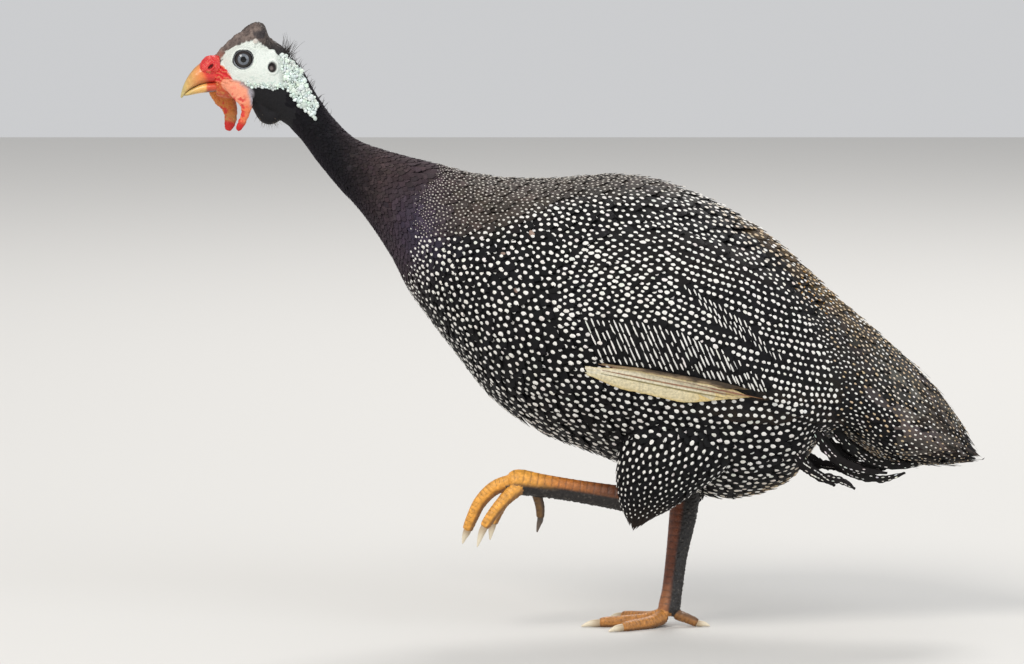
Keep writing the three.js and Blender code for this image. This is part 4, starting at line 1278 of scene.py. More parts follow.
def headZones(p):
    # for every point of the head, how far it belongs to each kind of skin
    x, z, side = p[:, 0], p[:, 2], np.abs(p[:, 1])
    edgeNoise = fbm(p, 2.6, 3.0) * 1.1
    zone = {"onHead": ease(-158, -164, x)}
    zone["beyondWhite"] = polygonDistance(x, z, face["white"]) + edgeNoise
    red = polygonDistance(x, z, face["red"]) + edgeNoise * 0.8
    zone["white"] = ease(0.5, -0.4, zone["beyondWhite"]) * ease(3.5, 5.5, side) * zone["onHead"]
    zone["red"] = ease(0.4, -0.4, red) * ease(1.5, 3, side)
    zone["earShare"] = ringShare(x, z, face["ear"])
    zone["ear"] = ease(1.25, 0.9, zone["earShare"]) * (side > 6)
    zone["ridge"] = np.sin((x * 0.5 + z * 1.0) * 2.3 + fbm(p, 3.0, 21.0) * 3.0)
    wavy = p + 0.8 * np.stack([fbm(p, 2.0, k) for k in (31.0, 32.0, 33.0)], -1)
    zone["flakes"] = np.array([noise.cell(Vector((a / 1.5 + 0.3 * b, b / 2.2, c / 1.9))) for a, b, c in wavy])
    zone["scaly"] = zone["white"] * ease(-187, -180, x + (z - 340) * 0.1)
    return zone


def headColours(p, zone):
    x, z, side = p[:, 0], p[:, 2], np.abs(p[:, 1])
    white, red, scaly, ridge = (zone[k] for k in ("white", "red", "scaly", "ridge"))
    mottle = fbm(p, 1.6, 9.0)
    underJaw = ease(336.5, 334, z) * ease(-203, -210, x) * (zone["beyondWhite"] > 0)
    gaps = scaly * ease(0.75, 0.35, zone["flakes"])
    return paintAll(np.tile(face["blackSkin"], (len(p), 1)), [
        (face["crown"], ease(352, 358, z) * ease(-170, -182, x) * 0.6),
        (face["whiteSkin"], white),
        (face["paleGreen"], white * ease(0.1, 0.5, mottle) * (0.25 + 0.4 * ease(342, 334, z))),
        # the ear opening painted near black: painted shade in the hole
        (face["earHoleShade"], zone["ear"]),
        (face["earFloor"], ease(0.6, 0.3, zone["earShare"]) * (side > 6)),
        (face["redSkin"], red),
        (face["yellowSkin"], red * ease(0.55, 0.95, ridge) * 0.35),
        (face["yellowSkin"], ease(1.2, 0.7, ringShare(x, z, face["gape"])) * (side > 4)),
        (face["jawRed"], underJaw * 0.9),
        (face["jawOrange"], underJaw * ease(0.0, 0.5, mottle) * 0.6),
        (face["scaleGap"], gaps * 0.8),
        (face["scale"], scaly * 0.45 * (1 - gaps)),
    ])


def headRelief(p, zone):
    # how far each point is pushed out: folds, scales, ridges of the red skin, the ear and the neck's nap
    x, side = p[:, 0], np.abs(p[:, 1])
    white, scaly, ear = zone["white"], zone["scaly"], zone["earShare"]
    folds = fbm(p, 3.4, 5.0) * 0.5 + fbm(p, 1.3, 7.0) * 0.22
    push = folds * (0.2 + 0.15 * white + 0.35 * scaly) * zone["onHead"] + scaly * (zone["flakes"] * 0.35)
    push += zone["red"] * zone["ridge"] * 0.42 - zone["ear"] * 1.6 * ease(1.1, 0.6, ear)
    push += 0.7 * np.exp(-((ear - 1.35) / 0.25) ** 2) * (side > 6) * ease(-150, -170, x)
    nap = ease(-172, -160, x) * (1 - white)
    return push + fbm(p, 1.1, 30.0) * 0.25 * nap


def wattleTint(p, wattle, at, behind):
    # along the wattle from its base to its tip, with red blots in front and a rim behind
    blots = ease(-0.05, 0.3, fbm(p, 2.4, 40.0)) * ease(0.4, -0.3, behind) * ease(0.3, 1.4, at)
    return paintAll(np.tile(wattle["base"], (len(p), 1)), [
        (wattle["low"], ease(2.4, 3.8, at) * 0.85),
        (face["redSkin"], blots * 0.85),
        (wattle["rim"], ease(0.3, 0.8, behind) * ease(3.9, 2.8, at) * 0.85),
        (wattle["tip"], ease(wattle["tipAt"], wattle["tipAt"] + 0.9, at)),
    ])


def makeHead():
    parts = [tube(bodySurface, 0, 11.6, 150, 96, lambda u: -insetAt(u))]
    shapes = [(wattle["path"], (0, 0.6), 60, 28) for wattle in wattles.values()]
    shapes += [(throat, (0.5, 0.5), 40, 32), (throatWeb, (0.6, 0.6), 40, 32)]
    for path, rounding, rows, cols in shapes:
        parts.append(tube(limbSurface(path, *rounding), 0, len(path) - 1, rows, cols))
    p, faces, normals = fuse(parts, 0.5, 3)
    zone = headZones(p)
    colours = headColours(p, zone)
    x, z, side = p[:, 0], p[:, 2], np.abs(p[:, 1])
    # hollow for the eyeball
    r = np.hypot(x - eye["x"], z - eye["z"])
    ball = eye["y"] + np.sqrt(np.maximum(eye["radius"] ** 2 - np.minimum(r, 6.4) ** 2, 0))
    hollow = ease(6.2, 5.4, r) * (side > 5)
    p = p + normals * headRelief(p, zone)[:, None]
    target = np.minimum(np.abs(p[:, 1]), ball - 1.6)
    p[:, 1] = np.sign(p[:, 1]) * (np.abs(p[:, 1]) * (1 - hollow) + target * hollow)
    # skin in the eyeball's hollow painted near black: painted shade round the eyeball
    colours = blendTo(colours, (0.008, 0.007, 0.008), hollow * ease(8.5, 10.5, np.abs(p[:, 1])))
    for wattle in wattles.values():
        at, d = nearPath(p, wattle["path"])
        line = readTable(np.array(wattle["path"], float), at)
        reach = np.maximum(line[:, 3], 0.8)
        rightSide = (np.sign(p[:, 1]) == wattle["side"]) & (side > wattle["inner"])
        on = ease(1.45, 1.1, d / reach) * (z < 337.5) * rightSide
        tint = wattleTint(p, wattle, at, (x - line[:, 0]) / reach)
        colours = colours * (1 - on[:, None]) + tint * on[:, None]
        wrinkles = 0.16 * np.sin(at * 7 + fbm(p, 2.6, 44.0) * 3) + 0.12 * fbm(p, 1.2, 50.0)
        p = p + normals * (on * wrinkles)[:, None]
    return p, faces, colours


lid = {
    # a first ring behind the eyeball's surface, then rings of radius and height over the eyeball's edge
    "innerRadius": 4.7,
    "innerDepth": 0.9,
    "edgeRadius": 5.35,
    "rings": [(5.1, -0.15), (5.25, 0.35), (5.5, 0.62), (5.9, 0.72), (6.2, 0.5), (6.45, 0.15), (6.7, 0.25),
              (7.1, 0.25),
              (7.45, -0.1)],
    # rings on down to the face: radius, share of the way up from the skin
    "slope": [(7.8, 0.9), (8.3, 0.74), (8.9, 0.56), (9.6, 0.38), (10.4, 0.2), (11.3, 0.05), (12.2, -0.25)],
    "longer": 1.02,
    "flatAbove": 0.93,
    "flatBelow": 0.96,
    "sides": 120,
}


def lidRing(sign, headTree):
    # the rim of naked lid round one eye, sloping off into the skin of the face
    def sphere(r):
        return eye["y"] + math.sqrt(eye["radius"] ** 2 - r * r)

    edge = sphere(lid["edgeRadius"])
    profile = [(lid["innerRadius"], sphere(lid["innerRadius"]) - lid["innerDepth"])]
    profile += [(r, edge + up) for r, up in lid["rings"]]
    a = np.linspace(0, 2 * np.pi, lid["sides"], endpoint=False)
    squash = np.where(np.sin(a) > 0, lid["flatAbove"], lid["flatBelow"])
    rows = []
    for i, (r, y) in enumerate(profile):
        wave = 1 + 0.012 * np.sin(17 * a + i) + 0.01 * np.sin(29 * a + 2 * i)
        rows.append(np.stack([eye["x"] + r * wave * np.cos(a) * lid["longer"],
                sign * (y + 0.06 * np.sin(23 * a + i)),
                              eye["z"] + r * wave * np.sin(a) * squash], -1))
    last = profile[-1][0]
    for r, share in lid["slope"]:
        ring = rows[-1].copy()
        # less far out above the eye, where the casque begins
        r = last + (r - last) * (1 - 0.55 * ease(-0.3, 0.9, np.sin(a)))
        ring[:, 0], ring[:, 2] = eye["x"] + r * np.cos(a) * lid["longer"], eye["z"] + r * np.sin(a) * squash
        for point in ring:
            hit = headTree.ray_cast(Vector((point[0], sign * 30, point[2])), Vector((0, -sign, 0)))[0]
            skinY = max(abs(hit[1]), 4.5) if hit else 4.5
            point[1] = sign * (skinY + max(edge - 0.1 - skinY, 0.4) * share)
        rows.append(ring)
    points = np.concatenate(rows)
    faces = gridFaces(len(rows), len(a), True).tolist()
    if sign > 0:
        faces = [f[::-1] for f in faces]
    angle = np.tile(a, len(rows))
    radius = np.repeat([r for r, _ in profile + lid["slope"]], len(a))
    below = ease(0.1, -0.5, np.sin(angle))
    beyond = polygonDistance(points[:, 0], points[:, 2], face["white"]) + fbm(points, 2.2, 95.0) * 1.2
    colours = paintAll(np.tile(face["lidBlack"], (len(points), 1)), [
        (face["whiteSkin"], ease(6.35, 6.7, radius + 0.2 * np.sin(angle * 5))),
        (face["browBrown"], ease(-0.2, 0.6, beyond) * ease(7.4, 7.8, radius)),
        (face["lidGrey"], (0.25 + 0.6 * below) * ease(5.25, 5.5, radius) * ease(6.15, 5.85, radius)),
    ])
    return points, faces, colours


def faceFlakes():
    # thick pale scales behind the face and along its lower edge
    def inBand(p):
        edge = polygonDistance(p[..., 0], p[..., 2], face["white"])
        x, z = p[..., 0], p[..., 2]
        rear, lowerEdge = x + (z - 340) * 0.1 > -182.5, (edge > -1.8) & (z < 340) & (x > -205)
        return (edge < 1.0) & (rear | lowerEdge) & (np.abs(p[..., 1]) > 5)

    u, v = scatter(bodySurface, (2.5, 9.5), (-np.pi, np.pi),
                   lambda p: np.interp(p[..., 0], [-190, -180, -160], [1.35, 1.75, 1.9]), keep=inBand,
                   relax=3, batches=12, batchSize=9000, closeness=0.72)
    inside = inBand(bodySurface(u, v))
    u, v = u[inside], v[inside]
    n = len(u)
    centres = bodySurface(u, v, 0.25)
    out = unit(outOf(bodySurface, u, v))
    mu, _ = stepLengths(bodySurface, u, v)
    wide = np.interp(centres[:, 0], [-190, -180, -160], [1.35, 1.9, 2.1]) * np.exp(rng.normal(0, 0.32, n))
    centres = centres + out * rng.uniform(-0.1, 0.45, (n, 1))
    normals, lie = out + rng.normal(0, 0.3, (n, 3)), mu + rng.normal(0, 1, (n, 3))
    p, f, step = spotDiscs(centres, normals, lie, wide * 1.15, wide, sides=8, dome=0.42, sink=0.6)
    tint = paint(n, face["flake"], 0.12, 0.03)
    newPiece("faceFlakes", place(p), f, [wattleSkin], np.repeat(tint, step, 0))


legLook = {
    "left": {"front": (0.5, 0.17, 0.03), "toe": (0.74, 0.34, 0.055), "lastToe": 0.85},
    # the right, far leg's colours are darker copies of the left's: painted shade on the far leg
    "right": {"front": (0.15, 0.042, 0.017), "toe": (0.45, 0.19, 0.045), "lastToe": 0.4},
    "shank": (0.014, 0.011, 0.01),
    "kneeBrown": (0.075, 0.02, 0.01),
    "ankleYellow": (0.74, 0.34, 0.055),
    "ankleYellowInShade": (0.32, 0.12, 0.04),
    "sole": (0.16, 0.075, 0.03),
    "lastToe": (0.02, 0.015, 0.013),
    "groove": (0.02, 0.012, 0.01),
    "scurf": (0.14, 0.12, 0.1),
    # length of one plate of horn along the tarsus and along a toe
    "tarsusPlate": 4.3,
    "toePlate": 2.5,
}


def aroundPath(p, path):
    # for each point: distance run along the path, angle round it, share of the way out to the path's surface,
    # and share of the way up its front
    table = np.array(path, float)
    at, d = nearPath(p, path)
    row = readTable(table, at)
    reach = np.maximum(row[:, 3], 1)
    steps = np.append(0, np.cumsum(np.linalg.norm(np.diff(table[:, :3], axis=0), axis=1)))
    run = np.interp(at, np.arange(len(steps)), steps)
    i = np.clip(at.astype(int), 0, len(table) - 2)
    along = unit(table[i + 1, :3] - table[i, :3])
    side = unit(np.array([0.0, 1.0, 0.0]) - along * along[:, 1:2])
    up = np.cross(side, along)
    away = p - row[:, :3]
    angle = np.arctan2((away * side).sum(1), (away * up).sum(1))
    return run, angle, d / reach, (away * up).sum(1) / reach


def tarsusTint(prefix, run, upper):
    tint = np.tile(legLook["shank"], (len(run), 1))
    tint = blendTo(tint, legLook[prefix]["front"], ease(-0.05, 0.35, upper))
    if prefix == "right":
        # the far leg's ankle: the ankle's yellow darkened as painted shade
        return blendTo(tint, legLook["ankleYellowInShade"], ease(60, 76, run) * ease(-0.1, 0.5, upper))
    tint = blendTo(tint, legLook["kneeBrown"], ease(58, 16, run) * 0.9 * ease(-0.1, 0.3, upper))
    return blendTo(tint, legLook["ankleYellow"], ease(48, 74, run) * ease(-0.3, 0.2, upper))


def toeTint(prefix, upper, last):
    tint = np.tile(legLook[prefix]["toe"], (len(upper), 1))
    tint = blendTo(tint, legLook["sole"], ease(-0.1, -0.6, upper) * 0.8)
    if last:
        tint = blendTo(tint, legLook["lastToe"], np.full(len(upper), legLook[prefix]["lastToe"]))
    return tint


def makeLeg(tarsus, prefix):
    parts, paths = [tube(limbSurface(tarsus, 0, 0.5), 0, 5, 90, 32)], [tarsus]
    for toe in (toes[n] for n in toes if n.startswith(prefix)):
        last = len(toe["path"]) - 1
        path = []
        for i, corner in enumerate(toe["path"]):
            thick = toe["thick"] + (toe["thin"] - toe["thick"]) * i / last
            path.append((*corner, thick, 0.92 * thick))
        paths.append(path)
        parts.append(tube(limbSurface(path, 0.3, 0.35), 0, last, 44, 24))
    p, faces, normals = fuse(parts, 0.62, 3)
    p[:, 2] = np.maximum(p[:, 2], 0.05 if prefix == "right" else 0)
    nearest = np.full(len(p), 1e9)
    run, angle = np.zeros(len(p)), np.zeros(len(p))
    onToe, colours = np.zeros(len(p), bool), np.zeros((len(p), 3))
    for k, path in enumerate(paths):
        runHere, angleHere, out, upper = aroundPath(p, path)
        tint = toeTint(prefix, upper, k == len(paths) - 1) if k else tarsusTint(prefix, runHere, upper)
        closer = out < nearest
        nearest = np.where(closer, out, nearest)
        run[closer], angle[closer] = runHere[closer], angleHere[closer]
        onToe[closer], colours[closer] = k > 0, tint[closer]
    # plates of horn on the front, small scales on the back
    plate = np.where(onToe, legLook["toePlate"], legLook["tarsusPlate"])
    phase = (run / plate + 0.5 * (angle > 0) + 0.12 * fbm(p, 3.0, 75.0)) % 1
    onTop = ease(1.7, 1.2, np.abs(angle))
    small = (1 - onTop) * fbm(p, 1.3, 60.0) * np.where(onToe, 0.3, 0.55)
    push = onTop * (0.28 * np.sin(np.pi * phase) ** 0.6 - 0.12) + small
    p = p + normals * push[:, None]
    p[:, 2] = np.maximum(p[:, 2], 0.02)
    colours = paintAll(colours, [
        (legLook["groove"], onTop * ease(0.14, 0.0, np.minimum(phase, 1 - phase)) * 0.55),
        (legLook["scurf"], (1 - onTop) * ease(0.3, 0.7, fbm(p, 1.3, 60.0)) * ~onToe * 0.5),
    ])
    colours *= np.exp(0.35 * fbm(p, 2.2, 70.0))[:, None]
    return p, faces, np.clip(colours, 0, 1)


def makeSkin():
    # each part's points, faces, colours and number in the skin's list of materials
    p, f, c = makeHead()
    parts = [(p, f, c, 0)]
    print("head skin", len(p))
    headTree = BVHTree.FromPolygons(p.tolist(), f)
    for sign in (-1, 1):
        parts.append((*lidRing(sign, headTree), 0))
    p, f = tube(bodySurface, 11.0, 28.0, 190, 96, lambda u: -insetAt(u) - 0.25)
    # the coat's colours darkened to 0.6 for the skin under it: painted shade between the feathers
    parts.append((p, f, np.clip(coatColour(p) * 0.6, 0, 1), 1))
    for path in thighs.values():
        p, f = tube(limbSurface(path), 0, 4, 60, 48, lambda u: -np.interp(u, [0, 3, 4], [4.0, 2.2, 0.8]))
        parts.append((p, f, np.tile((0.008, 0.0075, 0.009), (len(p), 1)), 1))
    for tarsus, prefix in ((tarsusLeft, "left"), (tarsusRight, "right")):
        p, f, c = makeLeg(tarsus, prefix)
        parts.append((p, f, c, 2))
        print(prefix, "leg skin", len(p))
    points, faces = joinMeshes([part[:2] for part in parts])
    kinds = np.concatenate([np.full(len(f), kind) for _, f, _, kind in parts])
    return points, faces, np.concatenate([c for _, _, c, _ in parts]), kinds


faceFlakes()
skinPoints, skinFaces, skinTints, skinKinds = makeSkin()
skin = newPiece("skin", place(skinPoints), skinFaces, [wattleSkin, neckVelvet, scaleSkin],
                skinTints,
                faceMaterial=skinKinds)
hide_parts("head", "throat", "neck_upper", "neck_lower", "trunk", "tail", "ear_left", "ear_right",
            "wing_left", "wing_right", "thigh_left", "thigh_right", "tarsus_left", "tarsus_right",
            "wattle_left", "wattle_right", *toes)
print("skin", len(skinPoints), "points")


# Casque, bill, cere
def loftSurface(rows):
    # rows as in the body's table
    table = np.array(rows, float)

    def surface(u, v, grow=0.0):
        return np.stack(ringPoint(table, u, v, grow, 0.3, 0.05), -1)

    surface.last = len(table) - 1
    return surface


horns = {
    "casque": [(-223.6, 349, -223.2, 342, 1.6, 0.2), (-217.4, 357, -216.6, 345, 4.2, 0.35),
               (-211.6, 362.2, -210.4, 348, 5.8, 0.42),
               (-205.4, 366.6, -204, 350, 6.8, 0.42), (-200.8, 369.8, -199.6, 351, 7, 0.38),
               (-196.4, 371.2, -195.6, 351.4, 6.8, 0.34),
               (-192.8, 370.2, -192.4, 351.2, 6.4, 0.34), (-191.0, 366.2, -190.4, 350.8, 6, 0.36),
               (-188.9, 361.6, -187.8, 349.4, 5.4, 0.3),
               (-183.6, 357.8, -183, 347, 4, 0.2), (-178.6, 353.9, -178.6, 345.6, 1.6, 0)],
    "bill_upper": [(-243.5, 326.1, -242.7, 325.3, 0.6, 0), (-242.6, 330.4, -240.9, 327.7, 1.7, 0.1),
                   (-240.8, 335.1, -239, 329.6, 2.8, 0.2),
                   (-237.6, 340.4, -236, 331.5, 4, 0.2), (-233.8, 344.7, -232.6, 333.1, 4.9, 0.18),
                   (-229.3, 347.2, -228.5, 334.1, 5.5, 0.15),
                   (-223.7, 347, -223.3, 334.6, 5.8, 0.12), (-217.7, 345.8, -216.7, 334.7, 5.4, 0.1)],
    "bill_lower": [(-241.1, 327.9, -241.2, 326.9, 0.7, 0), (-239.4, 329.5, -239.6, 326.9, 1.9, 0),
                   (-235.8, 331.9, -236, 327.5, 3.1, 0),
                   (-229.8, 334.5, -230.2, 328.5, 4.2, 0), (-222.8, 335.3, -223.2, 329.1, 5.2, 0),
                   (-216.8, 335.3, -217.2, 329.9, 5.4, 0)],
    "cere": [(-232.8, 343.6, -232.4, 340.5, 2.2, 0.2), (-231.2, 347.2, -230.6, 338.9, 4.8, 0.25),
             (-228.2, 350.1, -227.4, 338.3, 6.4, 0.25),
             (-224.4, 351.3, -223.8, 338.3, 7.0, 0.25), (-220.2, 351.3, -219.6, 339.6, 6.4, 0.25)],
}


hornLook = {
    "casque": (0.12, 0.088, 0.078),
    # the next two: a lighter colour for the raised folds, which is a painted highlight, and a darker one for
    # the sunk creases, which is painted shade
    "casqueFoldHighlight": (0.26, 0.2, 0.17),
    "casqueCreaseShade": (0.04, 0.03, 0.026),
    "casqueRidge": (0.03, 0.023, 0.02),
    "casqueFront": (0.28, 0.1, 0.07),
    "casqueFoot": (0.022, 0.019, 0.02),
    "blotColour": (0.02, 0.017, 0.021),
    "bumpColour": (0.6, 0.55, 0.5),
    "blot": {"x": -196.5, "z": 364.5, "wide": 5.0, "high": 3.4},
    "bump": {"x": -198.4, "z": 360.0, "wide": 1.7, "high": 1.7},
    # upper bill: point, middle, culmen, painted shade along its lower edge where it meets the lower bill, tip
    "upperPoint": (0.6, 0.39, 0.13),
    "upperMiddle": (0.72, 0.19, 0.05),
    "culmen": (0.3, 0.17, 0.08),
    "upperEdgeShade": (0.09, 0.05, 0.03),
    "upperTip": (0.5, 0.44, 0.2),
    # lower bill: point, middle, base, a painted highlight at its corner and the shadow under it
    "lowerPoint": (0.6, 0.45, 0.16),
    "lowerMiddle": (0.78, 0.42, 0.12),
    "lowerBase": (0.55, 0.04, 0.022),
    "cornerHighlight": (0.5, 0.47, 0.52),
    "corner": {"x": -220, "z": 332.6, "wide": 1.0, "high": 1.6},
    "underShadow": (0.03, 0.016, 0.012),
    "cere": (0.6, 0.022, 0.022),
    "cereLight": (0.7, 0.14, 0.08),
    # yellow over the cere's lower part: a painted highlight
    "cereLowHighlight": (0.7, 0.34, 0.12),
    # the nostril's red lining, darkened as painted shade in the slit
    "nostrilRedInShade": (0.12, 0.008, 0.008),
    # the nostril is a slit, turned up towards the rear
    "nostril": {"x": -225.6, "z": 344.8, "long": 2.3, "high": 1.05, "turn": math.radians(42)},
}


def hornMesh(name, rows, cols):
    # points, faces, the angle of each point from the upper ridge, and the way out of the surface
    surface = loftSurface(horns[name])
    p, faces = tube(surface, 0, surface.last, rows, cols)
    u = np.repeat(np.linspace(0, surface.last, rows), cols)
    v = np.tile(np.linspace(0, 2 * np.pi, cols, endpoint=False), rows)
    u, v = np.append(u, (0, surface.last)), np.append(v, (0, 0))
    out = unit(outOf(surface, u, v), 1e-6)
    out[-2:] = 0
    return p, faces, np.abs(np.angle(np.exp(1j * v))), out


def makeCasque():
    p, faces, offRidge, out = hornMesh("casque", 150, 110)
    folds = fbm(p * np.array((1, 1, 0.55)), 3.2, 80.0, 4)
    fine = fbm(p * np.array((1, 1, 0.7)), 1.1, 90.0, 3)
    p = p + out * (folds * 0.75 + fine * 0.28)[:, None]
    x, z, side = p[:, 0], p[:, 2], np.abs(p[:, 1])
    ridge = ease(0.5, 0.15, offRidge) * ease(-212, -200, x)
    rear = ease(-199, -191, x)
    base = ease(356, 351, z) * ease(-196, -206, x)
    sideWhite = polygonDistance(x, z, face["white"]) + fbm(p, 2.2, 95.0) * 1.2
    blot, bump = ringShare(x, z, hornLook["blot"]) + folds * 0.5, ringShare(x, z, hornLook["bump"])
    colours = paintAll(np.tile(hornLook["casque"], (len(p), 1)), [
        # painted highlight on the raised folds, painted shade in the sunk creases
        (hornLook["casqueFoldHighlight"], ease(0.05, 0.6, folds) * 0.5),
        (hornLook["casqueCreaseShade"], ease(-0.1, -0.6, folds + fine) * 0.7),
        (hornLook["casqueRidge"], np.maximum(ridge * 0.85, rear * 0.8)),
        (hornLook["casqueFront"], base * ease(-212, -220, x) * 0.8),
        (hornLook["casqueFoot"], ease(361, 354, z + folds * 2) * ease(-214, -207, x) * 0.9),
        (face["whiteSkin"], ease(-0.6, -1.4, sideWhite) * (side > 2.5)),
        (hornLook["blotColour"], ease(1.1, 0.6, blot) * 0.75),
        (hornLook["bumpColour"], ease(1.1, 0.7, bump) * (side > 1)),
    ])
    p = p + out * (ease(1.2, 0.3, bump) * 0.7)[:, None]
    piece = newPiece("casque_horn", place(p), faces, [casqueHorn], colours)
    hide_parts("casque")


def makeBill():
    for name in ("bill_upper", "bill_lower"):
        p, faces, offRidge, out = hornMesh(name, 110, 72)
        x, z = p[:, 0], p[:, 2]
        p = p + out * (fbm(p * np.array((0.4, 1, 1)), 2.2, 100.0) * 0.12)[:, None]
        fromTip = ease(-242, -228, x)
        if name == "bill_upper":
            colours = paintAll(np.tile(hornLook["upperPoint"], (len(p), 1)), [
                (hornLook["upperMiddle"], fromTip),
                (face["redSkin"], ease(-231, -226.5, x + (z - 338) * 0.4) * 0.92),
                (hornLook["culmen"], ease(0.7, 0.2, offRidge) * 0.5),
                # painted shade along the upper bill's lower side, where it meets the lower bill
                (hornLook["upperEdgeShade"], ease(2.0, 2.9, offRidge) * ease(-222, -228, x) * 0.8),
                (hornLook["upperTip"], ease(-239, -243, x) * 0.8),
            ])
        else:
            colours = paintAll(np.tile(hornLook["lowerPoint"], (len(p), 1)), [
                (hornLook["lowerMiddle"], fromTip),
                (hornLook["lowerBase"], ease(-229, -226, x + fbm(p, 2.0, 112.0) * 1.5) * 0.92),
                # painted highlight at the lower bill's corner
                (hornLook["cornerHighlight"], ease(1.2, 0.7, ringShare(x, z, hornLook["corner"]))),
                (hornLook["underShadow"], ease(2.0, 2.6, offRidge) * ease(-231, -226, x) * 0.85),
            ])
        colours *= np.exp(0.16 * fbm(p * np.array((0.5, 1, 1)), 1.6, 110.0))[:, None]
        piece = newPiece(name + "_horn", place(p), faces, [billHorn], np.clip(colours, 0, 1))
        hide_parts(name)


def makeCere():
    p, faces, _, out = hornMesh("cere", 110, 110)
    x, z, side = p[:, 0], p[:, 2], np.abs(p[:, 1])
    p = p + out * (fbm(p, 3.6, 120.0) * 0.6 + fbm(p, 1.3, 125.0) * 0.12)[:, None]
    nostril = hornLook["nostril"]
    cos, sin = math.cos(nostril["turn"]), math.sin(nostril["turn"])
    dx, dz = x - nostril["x"], z - nostril["z"]
    slit = np.hypot((dx * cos + dz * sin) / nostril["long"], (-dx * sin + dz * cos) / nostril["high"])
    on = side > 3
    rim = 0.35 * np.exp(-((slit - 1.5) / 0.4) ** 2) * on
    p = p - out * (ease(1.15, 0.5, slit) * 1.8 * on)[:, None] + out * rim[:, None]
    colours = paintAll(np.tile(hornLook["cere"], (len(p), 1)), [
        (hornLook["cereLight"], ease(0.1, 0.6, fbm(p, 1.8, 130.0)) * 0.5),
        # yellow over the cere's lower part: a painted highlight
        (hornLook["cereLowHighlight"], ease(343.5, 340.0, z) * ease(-0.2, 0.3, fbm(p, 2.0, 135.0)) * 0.8),
        # the nostril's red lining, darkened as painted shade in the slit
        (hornLook["nostrilRedInShade"], ease(1.1, 0.7, slit) * on),
    ])
    piece = newPiece("cere_skin", place(p), faces, [cereSkin], colours)
    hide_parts("cere")


makeCasque()
makeBill()
makeCere()

# Eyes
eyeLook = {
    "iris": (0.2, 0.225, 0.26),
    "irisDark": (0.07, 0.075, 0.085),
    "pupil": (0.002, 0.002, 0.002),
    "rim": (0.018, 0.013, 0.012),
    "pupilSize": 1.85,
    "irisSize": 3.6,
    "rings": 60,
    "sides": 64,
}


def makeEyeMaterial():
    material, tree, shader = newMaterial("eyeBall", Roughness=0.1, Specular_IOR_Level=0.25, Coat_Weight=0.35,
            Coat_Roughness=0.02)
    ring = addNode(tree, "ShaderNodeAttribute", attribute_name="ring")
    split = addNode(tree, "ShaderNodeSeparateXYZ", {0: ring.outputs["Vector"]})
    squares = [mathNode(tree, "MULTIPLY", split.outputs[k], split.outputs[k]) for k in (0, 1)]
    r = mathNode(tree, "SQRT", mathNode(tree, "ADD", *squares))
    angle = mathNode(tree, "ARCTAN2", split.outputs[1], split.outputs[0])
    along = addNode(tree, "ShaderNodeCombineXYZ", {
        0: mathNode(tree, "MULTIPLY", angle, 5.0), 1: mathNode(tree, "MULTIPLY", r, 0.4)})
    rays = addNode(tree, "ShaderNodeTexNoise", {"Vector": along.outputs[0], "Scale": 2.6, "Detail": 3.0})
    iris = mixColor(tree, rays.outputs["Fac"], eyeLook["irisDark"], eyeLook["iris"])
    rim, pupil = (addNode(tree, "ShaderNodeMapRange",
            {0: r, 1: eyeLook[size] - inner, 2: eyeLook[size] + outer},
                          interpolation_type="SMOOTHSTEP")
                  for size, inner, outer in (("irisSize", 0.5, 0.1), ("pupilSize", 0.12, 0.12)))
    inside = mixColor(tree, pupil.outputs[0], eyeLook["pupil"], iris)
    colour = mixColor(tree, rim.outputs[0], inside, eyeLook["rim"])
    tree.links.new(colour, shader.inputs["Base Color"])
    return material


eyeBall = makeEyeMaterial()
rings, sides = eyeLook["rings"], eyeLook["sides"]
for sign, word in ((-1, "left"), (1, "right")):
    polar, turn = np.meshgrid(np.linspace(0.001, np.pi, rings),
            np.linspace(0, 2 * np.pi, sides, endpoint=False), indexing="ij")
    bulge = eye["radius"] * (1 + 0.035 * np.exp(-(polar / 0.45) ** 2))
    p = np.stack([eye["x"] + bulge * np.sin(polar) * np.cos(turn), sign * (eye["y"] + bulge * np.cos(polar)),
                  eye["z"] + bulge * np.sin(polar) * np.sin(turn)], -1)
    faces = gridFaces(rings, sides, True).tolist()
    if sign > 0:
        faces = [f[::-1] for f in faces]
    ball = newPiece("eye_ball_" + word, place(p.reshape(-1, 3)), faces, [eyeBall])
    # place on the iris, a little off the ball's middle, and far off on its back
    ring = np.stack([(p[..., 0] - eye["x"]) + 0.2, p[..., 2] - eye["z"] - 0.1,
            np.where(polar < 1.6, 0.0, 9.0)], -1)
    layer = ball.data.attributes.new("ring", "FLOAT_VECTOR", "POINT")
    layer.data.foreach_set("vector", ring.astype(np.float32).ravel())
    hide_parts("eye_" + word)

# Claws
clawLook = {
    "root": (0.45, 0.34, 0.22),
    "point": (0.75, 0.66, 0.5),
    # the near foot's first claw is dark
    "dark": "left_toe_1",
    "darkRoot": (0.06, 0.045, 0.035),
    "darkPoint": (0.12, 0.09, 0.07),
    "rings": 40,
    "sides": 24,
}


